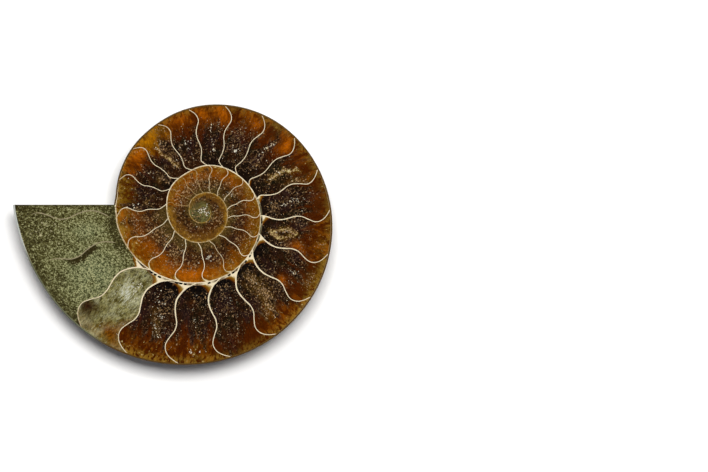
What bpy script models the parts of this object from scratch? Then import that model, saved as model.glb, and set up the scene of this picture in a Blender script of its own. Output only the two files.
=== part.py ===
"""One half of an ammonite fossil, sawn along its median plane and polished.

Metres, +Z up. The half lies on its flank with the polished cut face up. The shell is worked out about the pole of
its spiral, and the finished object is then moved so that its bounding box is centred over the origin and stands on
Z = 0.

A place along the spiral is given in turns: 0 at the saw line that ends the last whorl, -1 one whorl further in.
"""

import math

import bmesh
import bpy

# Driving dimensions
LENGTH = 0.100  # longest side, from the trimmed tip to the far rim
RIM_PER_LENGTH = 0.5839  # rim radius at the end of the last whorl
TRIM_PER_LENGTH = 0.0203  # distance of the saw line above the pole
DEPTH_PER_LENGTH = 0.130  # cut face to the lowest part of the flank
CHAMFER_PER_LENGTH = 0.003

# Spiral
OUTER_GROWTH = 0.7527  # natural log of the radius gained over the last whorl
INNER_GROWTH = 0.8325  # the same where the whorl before it begins
INNER_TIGHTENING = 0.0285  # and how fast that rises further in
UNEVEN_GROWTH = (  # swellings and flats of the rim: where, how long (degrees) and how high over the radius
    (-1, 5, 0.022),
    (60, 16, -0.008),
    (130, 20, 0.004),
    (272, 36, -0.0125),
    (366, 20, 0.024),
)

# Flank
UMBILICUS = 0.20  # seam radius over rim radius
SHOULDER = 0.17  # where the whorl is thickest, from the seam (0) to the rim (1)
FLANK_FULLNESS = 2.3
VENTER_ROUNDNESS = 1.75
DEPTH_RATIO = 0.60  # depth of a whorl over that of the next one out
DEPTH_RISE = 0.75  # radians over which a whorl swells from one to the other
RIBS = 34
RIB_DEPTH_PER_LENGTH = 0.0040
RIB_FADE = 0.9  # how the ribs' depth follows the rim radius inwards, as a power
RIB_SWEEP = 0.16  # radians by which a rib bends between the seam and the rim

# Mesh
COLUMNS = 170  # per turn
FLANK_ROWS = 13
UMBILICAL_ROWS = 4  # between a whorl's seam and the next whorl's
INNER_WHORLS = 2
LEAN_SPAN = 0.9  # radians over which the columns turn from the saw line to the radius

TURN = 2 * math.pi
RIM_RADIUS = LENGTH * RIM_PER_LENGTH
TRIM_Y = LENGTH * TRIM_PER_LENGTH
DEPTH = LENGTH * DEPTH_PER_LENGTH
CHAMFER = LENGTH * CHAMFER_PER_LENGTH
RIB_DEPTH = LENGTH * RIB_DEPTH_PER_LENGTH


def rim_radius(turns):
    """Radius of the shell's outer wall."""
    if turns < -1:
        inner = -1 - turns
        shrink = OUTER_GROWTH + INNER_GROWTH * inner + INNER_TIGHTENING * inner**2
        return RIM_RADIUS * math.exp(-shrink)
    degrees = 360 * (turns + 1)
    uneven = sum(high * math.exp(-(((degrees - where) / long) ** 2)) for where, long, high in UNEVEN_GROWTH)
    return RIM_RADIUS * math.exp(OUTER_GROWTH * turns) * (1 + uneven)


def seam_radius(turns):
    """Radius of the line where a whorl's flank meets the whorl inside it."""
    if turns < -1:
        return UMBILICUS * rim_radius(turns)
    return UMBILICUS * RIM_RADIUS * math.exp(OUTER_GROWTH * turns)


def whorl_of(turns):
    """-1 for the last whorl, -2 for the one before it, and so on."""
    return min(-1, math.floor(turns))


def whorl_depth(turns):
    """Greatest depth of a whorl below the cut face."""
    whorl = whorl_of(turns)
    along = (turns - whorl) * TURN
    swell = 1 - (1 - DEPTH_RATIO) * math.exp(-((along / DEPTH_RISE) ** 2))
    return DEPTH * swell * DEPTH_RATIO ** (-1 - whorl)


def rib_relief(turns, across):
    """Height, zero or less, of the low sickle-shaped ribs, which fade at the seam and over the venter."""
    bend = RIB_SWEEP * (math.sin(math.pi * across) - 0.5 * across)
    wave = math.cos(RIBS * (turns * TURN - bend))
    depth = RIB_DEPTH * (rim_radius(turns) / RIM_RADIUS) ** RIB_FADE
    return depth * 0.5 * (wave - 1) * math.sin(math.pi * across) ** 0.8


def flank_depth(turns, radius):
    """Depth of a whorl's outer surface below the cut face."""
    seam = seam_radius(turns)
    across = (radius - seam) / (rim_radius(turns) - seam)
    across = min(1.0, max(0.0, across))
    deepest = whorl_depth(turns)
    if across >= SHOULDER:
        outward = (across - SHOULDER) / (1 - SHOULDER)
        depth = deepest * (1 - outward**FLANK_FULLNESS) ** (1 / VENTER_ROUNDNESS)
    else:
        at_seam = seam_depth(turns)
        depth = at_seam + (deepest - at_seam) * math.sin(0.5 * math.pi * across / SHOULDER)
    return depth + rib_relief(turns, across)


def seam_depth(turns):
    """Depth of a whorl's seam, which lies on the flank of the whorl inside it."""
    if turns < -INNER_WHORLS:
        return DEPTH_RATIO * whorl_depth(turns)
    return flank_depth(turns - 1, seam_radius(turns))


def spot(turns, radius, depth):
    """Point at this place along the spiral. Near the saw line, columns turn away from the radius to lie along it."""
    along = (turns - whorl_of(turns)) * TURN
    lean = max(0.0, 1 - min(along, TURN - along) / LEAN_SPAN) ** 2
    inside = seam_radius(-1)
    trim_angle = math.asin(TRIM_Y / max(radius, inside)) * min(1.0, radius / inside)
    angle = along + lean * trim_angle
    return (-radius * math.cos(angle), radius * math.sin(angle), -depth)


def umbilical_radii(turns):
    """Radii of the rows between a whorl's seam and the next whorl's."""
    seam, next_seam = seam_radius(turns), seam_radius(turns + 1)
    return [seam + (next_seam - seam) * row / UMBILICAL_ROWS for row in range(UMBILICAL_ROWS + 1)]


def flank_radii(turns):
    """Radii of the last whorl's rows from its seam to its rim, closest together over the venter."""
    seam, rim = seam_radius(turns), rim_radius(turns)
    covered = (seam_radius(0) - seam_radius(-1)) / (rim_radius(-1) - seam_radius(-1))
    steps = [covered * row / UMBILICAL_ROWS for row in range(UMBILICAL_ROWS)]
    for row in range(FLANK_ROWS + 1):
        steps.append(covered + (1 - covered) * math.sin(0.5 * math.pi * row / FLANK_ROWS))
    return [seam + (rim - seam) * step for step in steps]


def last_whorl_column(mesh, turns):
    """Vertices from the seam to the rim, and the one where the chamfer meets the cut face."""
    column = [mesh.verts.new(spot(turns, radius, flank_depth(turns, radius))) for radius in flank_radii(turns)[:-1]]
    rim = rim_radius(turns)
    column.append(mesh.verts.new(spot(turns, rim, CHAMFER)))
    column.append(mesh.verts.new(spot(turns, rim - CHAMFER, 0)))
    return column


def join_columns(mesh, columns):
    """Quads between neighbouring columns."""
    for left, right in zip(columns, columns[1:]):
        for low, high in zip(range(len(left) - 1), range(1, len(left))):
            mesh.faces.new((left[low], left[high], right[high], right[low]))


def add_inner_whorl(mesh, whorl, outer_columns):
    """The part of an inner whorl that the umbilicus leaves in sight, hung from the seam of the whorl outside it."""
    columns = []
    for step in range(COLUMNS):
        turns = whorl + step / COLUMNS
        inner_radii = umbilical_radii(turns)[:-1]
        column = [mesh.verts.new(spot(turns, radius, flank_depth(turns, radius))) for radius in inner_radii]
        columns.append(column + [outer_columns[step][0]])
    columns.append(outer_columns[0][: UMBILICAL_ROWS + 1])
    join_columns(mesh, columns)
    return columns


def close_pole(mesh, columns):
    """A fan over the small hole that is left at the pole."""
    edge = [column[0] for column in columns] + columns[0][UMBILICAL_ROWS:0:-1]
    depth = sum(-vertex.co.z for vertex in edge) / len(edge)
    pole = mesh.verts.new((0, 0, -depth))
    for first, second in zip(edge, edge[1:] + edge[:1]):
        if first != second:
            mesh.faces.new((first, second, pole))


def build_mesh():
    """The whole half as one closed bmesh. Material 0 is the shell, 1 the polished cut."""
    mesh = bmesh.new()
    last_whorl = [last_whorl_column(mesh, step / COLUMNS - 1) for step in range(COLUMNS)]
    end = last_whorl_column(mesh, 0)
    mesh.verts.remove(end[0])
    end[0] = last_whorl[0][UMBILICAL_ROWS]
    last_whorl.append(end)
    join_columns(mesh, last_whorl)
    columns = last_whorl
    for whorl in range(-2, -2 - INNER_WHORLS, -1):
        columns = add_inner_whorl(mesh, whorl, columns)
    close_pole(mesh, columns)
    saw_wall = mesh.faces.new(end + last_whorl[0][:UMBILICAL_ROWS:-1])
    cut_face = mesh.faces.new([column[-1] for column in last_whorl])
    saw_wall.material_index = 1
    cut_face.material_index = 1
    bmesh.ops.recalc_face_normals(mesh, faces=mesh.faces)
    for face in mesh.faces:
        face.smooth = face not in (saw_wall, cut_face)
    return mesh


def stand_on_origin(mesh):
    """Moves the mesh so that its box is centred over the origin and stands on Z = 0."""
    lows = [min(vertex.co[axis] for vertex in mesh.verts) for axis in range(3)]
    highs = [max(vertex.co[axis] for vertex in mesh.verts) for axis in range(3)]
    middle = (-0.5 * (lows[0] + highs[0]), -0.5 * (lows[1] + highs[1]), -lows[2])
    bmesh.ops.translate(mesh, verts=mesh.verts, vec=middle)
    return middle


def stone(name, color, roughness):
    """A plain dielectric material."""
    material = bpy.data.materials.new(name)
    material.use_nodes = True
    shader = material.node_tree.nodes["Principled BSDF"]
    shader.inputs["Base Color"].default_value = (*color, 1)
    shader.inputs["Roughness"].default_value = roughness
    shader.inputs["Metallic"].default_value = 0
    return material


def main():
    """Clears the scene and builds the half."""
    for thing in list(bpy.data.objects):
        bpy.data.objects.remove(thing)
    mesh = build_mesh()
    pole = stand_on_origin(mesh)
    data = bpy.data.meshes.new("ammonite_half")
    mesh.to_mesh(data)
    mesh.free()
    data.materials.append(stone("worn_shell", (0.23, 0.13, 0.055), 0.35))
    data.materials.append(stone("polished_cut", (0.12, 0.045, 0.012), 0.12))
    half = bpy.data.objects.new("ammonite_half", data)
    bpy.context.scene.collection.objects.link(half)
    print(f"pole of the spiral at {pole[0]:.5f}, {pole[1]:.5f}; cut face at z {pole[2]:.5f}")


main()
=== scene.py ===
"""Finish of one half of an ammonite fossil, sawn along its median plane and polished.

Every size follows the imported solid's box. A place on the cut face is given by an angle, in degrees
clockwise from the start of the last whorl, and by how far inward it lies: 0 at the wall outside it and 1 at
the next wall in.
"""

import logging
import math
from dataclasses import dataclass, field
from enum import Enum
from typing import Callable, Iterable, Sequence

import bmesh
import bpy
import numpy as np
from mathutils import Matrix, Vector


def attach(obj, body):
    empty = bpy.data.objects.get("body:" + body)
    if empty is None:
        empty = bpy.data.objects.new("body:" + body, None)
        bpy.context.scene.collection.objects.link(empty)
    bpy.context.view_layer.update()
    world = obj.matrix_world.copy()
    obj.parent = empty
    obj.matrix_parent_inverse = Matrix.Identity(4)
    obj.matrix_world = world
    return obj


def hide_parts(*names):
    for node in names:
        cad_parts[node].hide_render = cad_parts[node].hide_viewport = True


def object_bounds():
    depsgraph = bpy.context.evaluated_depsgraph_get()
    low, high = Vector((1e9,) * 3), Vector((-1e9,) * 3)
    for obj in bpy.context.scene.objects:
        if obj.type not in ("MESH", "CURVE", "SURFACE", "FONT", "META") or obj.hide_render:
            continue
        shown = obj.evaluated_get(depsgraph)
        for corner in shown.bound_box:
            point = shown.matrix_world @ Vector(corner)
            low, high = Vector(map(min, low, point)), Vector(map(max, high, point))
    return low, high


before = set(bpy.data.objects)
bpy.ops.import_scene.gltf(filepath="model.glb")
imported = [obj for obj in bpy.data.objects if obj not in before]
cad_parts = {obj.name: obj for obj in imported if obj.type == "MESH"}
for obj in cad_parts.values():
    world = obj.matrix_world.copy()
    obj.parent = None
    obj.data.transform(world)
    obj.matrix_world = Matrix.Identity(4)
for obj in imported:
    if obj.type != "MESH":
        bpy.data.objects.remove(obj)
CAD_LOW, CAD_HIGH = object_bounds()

Array = np.ndarray
Material = bpy.types.Material
Node = bpy.types.Node
NodeTree = bpy.types.NodeTree
Piece = bpy.types.Object
Socket = bpy.types.NodeSocket

LOG = logging.getLogger("ammonite")
NODE = "ammonite_half"
BODY = "root"

LENGTH = CAD_HIGH.x - CAD_LOW.x
FACE = CAD_HIGH.z
TURN = 2 * math.pi
MM = 0.001
PER_METRE = 1 / MM  # texture coordinates are kept in millimetres
SEEN_TO_BASE = 0.76  # the studio lights a surface a little past its own base colour

# Proportions of the solid
RIM_RADIUS = 0.5839 * LENGTH
TRIM = 0.0203 * LENGTH  # from the pole to the saw cut
DEPTH = 0.130 * LENGTH
CHAMFER = 0.003 * LENGTH
RIB_DEPTH = 0.0040 * LENGTH
OUTER_GROWTH = 0.7527
INNER_GROWTH = 0.8325
INNER_TIGHTENING = 0.0285
UMBILICUS = 0.20
SHOULDER = 0.17
FLANK_FULLNESS = 2.3
VENTER_ROUNDNESS = 1.75
DEPTH_RATIO = 0.60
DEPTH_RISE = 0.75
RIBS = 34
RIB_FADE = 0.9
RIB_SWEEP = 0.16
LEAN_SPAN = 0.9
INNER_WHORLS = 2

# Where a wall bulges out or in: degrees, reach in degrees, share of the radius
UNEVEN_GROWTH = (
    (-1, 5, 0.022), (60, 16, -0.008), (130, 20, 0.004), (272, 36, -0.0125), (366, 20, 0.024),
)
UNEVEN_WALL = (
    (-12, 38, 0.018), (-150, 30, -0.012), (-222, 48, -0.031), (-293, 20, -0.042), (-438, 40, 0.040),
    (-490, 35, 0.018), (-650, 45, -0.025), (-900, 55, -0.22),
)

# Layers of the cut face
SHELL_EDGE = 0.22 * MM  # the shell's own thickness, seen edge on along the rim
SAWN_EDGE = 0.12 * MM  # line along the saw cut
WALL_STAND = 0.02 * MM  # the harder walls stand this far over what fills the chambers
STONE_TOP = FACE - WALL_STAND
WALL_SHOULDER = FACE - 0.5 * WALL_STAND
BED = FACE - 0.6 * MM  # underside of the fillings and the walls


class Tone(Enum):
    """Colours of the stone as seen in daylight, as sRGB levels."""

    ORANGE = (184, 94, 2)
    AMBER = (112, 58, 2)
    YELLOW_AMBER = (186, 118, 2)
    GOLD = (150, 114, 38)
    PALE_GOLD = (206, 184, 122)
    HONEY = (142, 100, 30)
    OLIVE_GOLD = (118, 84, 16)
    RUST = (72, 28, 0)
    CHESTNUT = (72, 38, 6)
    HAZEL = (78, 46, 14)
    OLIVE_BROWN = (76, 58, 24)
    BRONZE = (102, 66, 20)
    RIM_BROWN = (94, 66, 16)
    MOSS_BROWN = (90, 69, 28)
    UMBER = (46, 24, 8)
    VIOLET_BROWN = (42, 24, 21)
    OLIVE_BLACK = (26, 24, 10)
    DARK_UMBER = (26, 16, 8)
    NEAR_BLACK = (14, 10, 8)
    TAN = (172, 136, 90)
    PINK_TAN = (184, 150, 112)
    DIM_TAN = (104, 78, 46)
    DIM_VIOLET = (96, 74, 54)
    GREY = (168, 160, 142)
    CREAM = (248, 232, 196)
    IVORY = (250, 242, 218)
    FROST = (214, 216, 204)
    PALE_GRAIN = (196, 188, 146)
    CALCITE = (138, 132, 82)
    PALE_CALCITE = (182, 180, 142)
    DEEP_CALCITE = (84, 74, 32)
    SILT = (104, 100, 56)
    PALE_SILT = (174, 173, 124)
    DARK_SILT = (46, 40, 16)
    GREEN_SILT = (98, 106, 72)
    DULL_GREEN = (112, 114, 88)
    BROWN_SILT = (64, 54, 26)
    # NACRE_AND_GLINT is a white of the crystals and also the painted highlight on the bevel by the sawn tip;
    # GLINT_EDGE_TEAL is the dark inner side of that painted highlight
    NACRE_AND_GLINT = (226, 230, 226)
    GLINT_EDGE_TEAL = (94, 110, 108)
    SHELL_GREY = (158, 146, 114)
    SHELL_TAN = (150, 116, 76)
    SHELL_BROWN = (92, 60, 32)
    SHELL_DARK = (44, 28, 16)

    @property
    def colour(self) -> tuple[float, ...]:
        """The tone as a linear base colour."""
        levels = [level / 255 for level in self.value]
        linear = [v / 12.92 if v <= 0.04045 else ((v + 0.055) / 1.055) ** 2.4 for v in levels]
        return (*[SEEN_TO_BASE * level for level in linear], 1.0)


class Mineral(Enum):
    """What a mark in a chamber is made of. The value is the name of its mask on the mesh."""

    AMBER = "amber"
    GOLD = "gold"
    RUST = "rust"
    TAN = "tan"
    FROST = "frost"


AMBER, GOLD, RUST, TAN, FROST = Mineral


# ---------------------------------------------------------------- curves


def smooth_step(low: float, high: float, value: Array | float) -> Array:
    """Rises smoothly from 0 at low to 1 at high."""
    share = np.clip((np.asarray(value, float) - low) / (high - low), 0, 1)
    return share * share * (3 - 2 * share)


def hill(*slopes: tuple[Array, float, float]) -> Array:
    """A soft hill, 1 at the top. Each slope is a value, where the top lies in it, and the hill's reach."""
    return np.exp(-sum(((value - top) / reach) ** 2 for value, top, reach in slopes))


def hills(tops: Iterable[Sequence[float]], degrees: Array, inward: Array) -> Array:
    """The highest of a few hills, each a height, degrees with their reach, and inward with its reach."""
    return np.max([high * hill((degrees, *top[:2]), (inward, *top[2:])) for high, *top in tops], 0)


def smooth_curve(places: Sequence[float], heights: Sequence[float], at: Array) -> Array:
    """A smooth curve through a few points.

    Args:
        places: Where the points lie, rising.
        heights: The curve's height at each.
        at: Where the curve is read.

    Returns:
        The heights there.
    """
    x, y = np.asarray(places, float), np.asarray(heights, float)
    slopes = np.gradient(y, x)
    at = np.clip(np.asarray(at, float), x[0], x[-1])
    span = np.clip(np.searchsorted(x, at, side="right") - 1, 0, len(x) - 2)
    width = x[span + 1] - x[span]
    s = (at - x[span]) / width
    rise = 3 * s**2 - 2 * s**3
    leaving = (s**3 - 2 * s**2 + s) * width * slopes[span]
    arriving = (s**3 - s**2) * width * slopes[span + 1]
    return (1 - rise) * y[span] + rise * y[span + 1] + leaving + arriving


def ripple(at: Array, seed: float, octaves: int = 3) -> Array:
    """A smooth wandering value between about -1 and 1, the same each run."""
    total = np.zeros_like(np.asarray(at, float))
    for octave in range(octaves):
        pitch = 2.0**octave
        total += np.sin(at * pitch * 1.7 + seed * (octave + 1.3)) / pitch
        total += np.sin(at * pitch * 1.1 - seed * (octave + 2.1)) / pitch
    return total / 3.2


def unit_grid(rows: int, columns: int) -> tuple[Array, Array]:
    """Two grids that rise from 0 to 1, one by rows and one by columns."""
    return tuple(np.meshgrid(np.linspace(0, 1, rows), np.linspace(0, 1, columns), indexing="ij"))


class Spiral:
    """The shell's spiral, fitted to the solid's box.

    The solid's columns turn away from the radius near the saw line. What is measured along them is called
    nominal; every other angle is a plain one about the pole.
    """

    def __init__(self) -> None:
        """Finds the pole from the reach of the outline."""
        angles = np.linspace(3, 361, 1433)
        radii = self.wall(angles)
        right = (-radii * np.cos(np.radians(angles))).max()
        back = (radii * np.sin(np.radians(angles))).max()
        self.pole = np.array((CAD_HIGH.x - right, CAD_HIGH.y - back))

    @staticmethod
    def rim(turns: Array | float) -> Array:
        """Radius of the wall, by turns: 0 at the end of the last whorl and -1 where it starts."""
        turns = np.asarray(turns, float)
        inner = np.maximum(-1 - turns, 0)
        inside = np.exp(-(OUTER_GROWTH + INNER_GROWTH * inner + INNER_TIGHTENING * inner**2))
        outside = np.exp(OUTER_GROWTH * turns) * (1 + Spiral.bulges(UNEVEN_GROWTH, 360 * (turns + 1)))
        return RIM_RADIUS * np.where(turns < -1, inside, outside)

    @staticmethod
    def bulges(places: Sequence[tuple[float, float, float]], degrees: Array) -> Array:
        """How much wider than the plain spiral it is, as a share of the radius."""
        return sum(high * hill((degrees, where, long)) for where, long, high in places)

    @staticmethod
    def lean(nominal: Array, radius: Array) -> Array:
        """Degrees from a nominal angle to the plain one."""
        turns = np.asarray(nominal, float) / 360 - 1
        along = (turns - np.minimum(-1, np.floor(turns))) * TURN
        amount = np.maximum(0, 1 - np.minimum(along, TURN - along) / LEAN_SPAN) ** 2
        inside = UMBILICUS * RIM_RADIUS * math.exp(-OUTER_GROWTH)
        trim_angle = np.arcsin(TRIM / np.maximum(radius, inside)) * np.minimum(1, radius / inside)
        return np.degrees(amount * trim_angle)

    def wall(self, degrees: Array | float) -> Array:
        """Radius of the spiral wall at a plain angle."""
        degrees = np.asarray(degrees, float)
        nominal = degrees
        for _ in range(5):
            nominal = degrees - self.lean(nominal, self.rim(nominal / 360 - 1))
        uneven = np.where(nominal < 0, self.bulges(UNEVEN_GROWTH, nominal), 0)
        uneven = uneven + smooth_step(0, -12, nominal) * self.bulges(UNEVEN_WALL, nominal)
        return self.rim(nominal / 360 - 1) * (1 + uneven)

    @staticmethod
    def outside(degrees: Array | float) -> Array:
        """1 where the wall is the outside of the shell, and 0 where the next whorl covers it."""
        return smooth_step(-9, 3, degrees)

    def face_wall(self, degrees: Array | float) -> Array:
        """Radius at which what fills the chambers ends under the wall."""
        return self.wall(degrees) - self.outside(degrees) * (CHAMFER + SHELL_EDGE)

    def radius(self, degrees: Array, inward: Array) -> Array:
        """Radius of a place on the cut face."""
        outer, inner = self.face_wall(degrees), self.face_wall(np.asarray(degrees) - 360)
        return outer * (inner / outer) ** inward

    def polar(self, degrees: Array, radius: Array) -> Array:
        """Plan position of an angle and a radius, as an array whose last axis is x, y."""
        angle = np.radians(degrees)
        return np.stack((self.pole[0] - radius * np.cos(angle), self.pole[1] + radius * np.sin(angle)), -1)

    def place(self, degrees: Array, inward: Array) -> Array:
        """Plan position of a place on the cut face."""
        return self.polar(degrees, self.radius(degrees, inward))


SPIRAL = Spiral()


# ---------------------------------------------------------------- septa

INWARD_STEPS = (0, 0.03, 0.06, 0.10, 0.16, 0.24, 0.32, 0.40, 0.50, 0.60, 0.70, 0.80, 0.87, 0.93, 1.0)
SEPTUM_COURSES = {  # by where the septum meets the outer wall: degrees past that place at each of the steps
    -25: (0, 2.2, 4.0, 5.0, 5.2, 3.7, 3.0, 3.3, 4.8, 6.0, 6.6, 7.9, 9.8, 12.0, 14.0),
    -4: (0, 2.4, 4.6, 6.0, 6.6, 5.3, 4.2, 4.1, 5.5, 6.2, 6.2, 7.3, 9.6, 12.2, 15.6),
    41: (0, 2.0, 3.6, 4.9, 5.2, 3.7, 2.3, 2.1, 3.2, 4.0, 4.1, 3.5, 5.1, 7.6, 11.5),
    82: (0, 1.6, 3.0, 4.2, 5.0, 3.8, 2.8, 3.3, 4.9, 6.1, 6.2, 5.6, 5.9, 8.7, 13.2),
    121: (0, 1.8, 3.2, 4.5, 5.3, 4.5, 3.5, 3.6, 4.9, 6.0, 6.0, 5.1, 4.5, 6.5, 11.5),
    160: (0, 1.7, 3.1, 4.5, 5.3, 4.2, 3.2, 3.3, 4.9, 6.3, 6.3, 5.5, 4.6, 5.0, 7.5),
    199: (0, 2.4, 4.2, 5.6, 6.4, 5.5, 4.0, 4.0, 5.5, 6.9, 7.5, 7.0, 6.0, 4.6, 2.8),
    240: (0, 2.4, 4.2, 5.6, 6.4, 5.5, 4.0, 4.0, 5.5, 6.9, 7.3, 6.0, 4.3, 2.0, -4.0),
}
OUTER_CONTACTS = (
    -4, 20.5, 41.5, 62.3, 81.8, 101.8, 121.5, 141.2, 160, 179.5, 199, 218.8, 239.5, 259.5, 279.5, 298.5,
    316.5,
)
INNER_CONTACTS = (
    -25.5, -48, -71, -94, -115, -136.5, -157.5, -178, -198, -220, -242, -263.5, -285, -306, -328.5, -350,
)


@dataclass(frozen=True)
class Septum:
    """One of the walls between two chambers.

    Attributes:
        contact: Angle at which it meets the outer wall.
    """

    contact: float

    def angle(self, inward: Array) -> Array:
        """Angle of the septum at this share of the way in."""
        known = list(SEPTUM_COURSES)
        place = float(np.interp(self.contact, known, range(len(known))))
        before = min(int(place), len(known) - 2)
        near, far = (smooth_curve(INWARD_STEPS, SEPTUM_COURSES[known[before + k]], inward) for k in (0, 1))
        bend = near + (far - near) * (place - before)
        unrest = 0.18 * ripple(np.asarray(inward) * 7, self.contact) * np.sin(math.pi * np.asarray(inward))
        return self.contact + bend + unrest


class SawnEdge:
    """The straight end of the living chamber, just inside the saw line."""

    def angle(self, inward: Array) -> Array:
        """Angle of the edge at this share of the way in."""
        degrees = np.full_like(np.asarray(inward, float), 361.0)
        for _ in range(8):
            reach = (TRIM - SAWN_EDGE) / SPIRAL.radius(degrees, inward)
            degrees = 360 + np.degrees(np.arcsin(reach))
        return degrees


# ---------------------------------------------------------------- meshes


def per_vertex(value: Array | float, count: int) -> Array:
    """A value with one row to a vertex. A single number holds for them all."""
    value = np.asarray(value, float)
    return np.full((count, 1), value) if value.ndim == 0 else value.reshape(count, -1)


def quads(number: Array) -> list[list[int]]:
    """The faces between the neighbours in a grid of vertex numbers."""
    corners = (number[:-1, :-1], number[:-1, 1:], number[1:, 1:], number[1:, :-1])
    return np.stack(corners, -1).reshape(-1, 4).tolist()


def prism(rings: int, corners: int) -> list[list[int]]:
    """The sides and both ends of a bar whose rings of vertices follow each other."""
    number = np.arange(rings * corners).reshape(rings, corners)
    sides = quads(np.concatenate((number, number[:, :1]), 1))
    return [*sides, number[0].tolist(), number[-1, ::-1].tolist()]


@dataclass
class Mesh:
    """Vertices, faces and vertex values gathered before they become one object."""

    points: list[Array] = field(default_factory=list)
    faces: list[tuple[int, ...]] = field(default_factory=list)
    slots: list[int] = field(default_factory=list)
    values: dict[str, list[Array]] = field(default_factory=dict)
    count: int = 0

    def add(self, points: Array, faces: Iterable[Sequence[int]] = (), **values: Array | float) -> int:
        """Adds a shape.

        Args:
            points: Its vertices, as rows of x, y, z.
            faces: Its faces, numbered from its own first vertex.
            values: Vertex values.

        Returns:
            The number of its first vertex.
        """
        start = self.count
        self.points.append(np.asarray(points, float).reshape(-1, 3))
        added = len(self.points[-1])
        self.join([[start + corner for corner in face] for face in faces])
        for name, rows in values.items():
            self.values.setdefault(name, []).append(per_vertex(rows, added))
        self.count += added
        return start

    def join(self, faces: Iterable[Sequence[int]], slot: int = 0) -> None:
        """Adds faces between vertices that are there already, without repeated corners."""
        for face in faces:
            corners = tuple(dict.fromkeys(int(corner) for corner in face))
            if len(corners) > 2:
                self.faces.append(corners)
                self.slots.append(slot)

    def object(self, name: str, materials: Sequence[Material], smooth_below: float = 35) -> Piece:
        """Makes the object, gives it its body and material slots, and hides the imported node's solid.

        Args:
            name: Name of the piece.
            materials: Its materials, in slot order.
            smooth_below: Greatest angle, in degrees, between faces that shade as one surface.

        Returns:
            The new object.
        """
        data = bpy.data.meshes.new(name)
        data.from_pydata(np.concatenate(self.points).tolist(), [], self.faces)
        for material in materials:
            data.materials.append(material)
        data.polygons.foreach_set("material_index", self.slots)
        for value_name, parts in self.values.items():
            rows = np.concatenate(parts)
            kind, entry = ("FLOAT_VECTOR", "vector") if rows.shape[1] == 3 else ("FLOAT", "value")
            attribute = data.attributes.new(value_name, kind, "POINT")
            attribute.data.foreach_set(entry, rows.astype(np.float32).ravel())
        shaped = bmesh.new()
        shaped.from_mesh(data)
        bmesh.ops.recalc_face_normals(shaped, faces=shaped.faces)
        shaped.to_mesh(data)
        shaped.free()
        data.shade_smooth()
        data.set_sharp_from_angle(angle=math.radians(smooth_below))
        piece = bpy.data.objects.new(name, data)
        bpy.context.scene.collection.objects.link(piece)
        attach(piece, BODY)
        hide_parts(NODE)
        LOG.info("%s: %d vertices, %d faces", name, len(data.vertices), len(data.polygons))
        return piece


def build_slab(
    name: str, material: Material, plan: Array, heights: Array | float = STONE_TOP, **values: Array | float
) -> Piece:
    """Builds a closed slab under a grid as a piece of its own.

    Args:
        name: Name of the piece.
        material: Its finish.
        plan: The grid's x, y positions, rows by columns.
        heights: Its heights.
        values: Vertex values over the grid.

    Returns:
        The new piece.
    """
    rows, columns = plan.shape[:2]
    count = rows * columns
    number = np.arange(count).reshape(rows, columns)
    edge = np.concatenate((number[0], number[1:, -1], number[-1, -2::-1], number[-2:0:-1, 0]))
    top = np.concatenate((plan.reshape(-1, 2), np.broadcast_to(heights, (rows, columns)).reshape(-1, 1)), 1)
    under = top[edge]
    under[:, 2] = BED
    below = np.arange(count, count + len(edge))
    ring = np.stack((edge, below))
    skirt = quads(np.concatenate((ring, ring[:, :1]), 1))
    spread = {}
    for value_name, grid in values.items():
        flat = per_vertex(grid, count)
        spread[value_name] = np.concatenate((flat, flat[edge]))
    mesh = Mesh()
    mesh.add(np.concatenate((top, under)), [*quads(number), *skirt, below[::-1].tolist()], **spread)
    return mesh.object(name, [material])


def add_bar(mesh: Mesh, line: Array, widths: Array, **values: Array | float) -> None:
    """Adds a closed bar with a slightly rounded top along a line in plan.

    Args:
        mesh: Where it goes.
        line: The middle of the bar, as rows of x, y.
        widths: Its width at each.
        values: Values along the line.
    """
    ahead = np.gradient(line, axis=0)
    ahead /= np.maximum(np.linalg.norm(ahead, axis=1, keepdims=True), 1e-12)
    aside = np.stack((-ahead[:, 1], ahead[:, 0]), 1)
    section = ((-0.5, BED), (-0.5, WALL_SHOULDER), (0.0, FACE), (0.5, WALL_SHOULDER), (0.5, BED))
    corners = len(section)
    edges = [
        np.concatenate((line + aside * (share * widths[:, None]), np.full((len(line), 1), height)), 1)
        for share, height in section
    ]
    spread = {name: np.repeat(per_vertex(row, len(line)), corners, 0) for name, row in values.items()}
    shares = np.tile([share for share, _ in section], len(line))
    mesh.add(np.stack(edges, 1), prism(len(line), corners), aside=shares, **spread)


# ---------------------------------------------------------------- node trees


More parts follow.
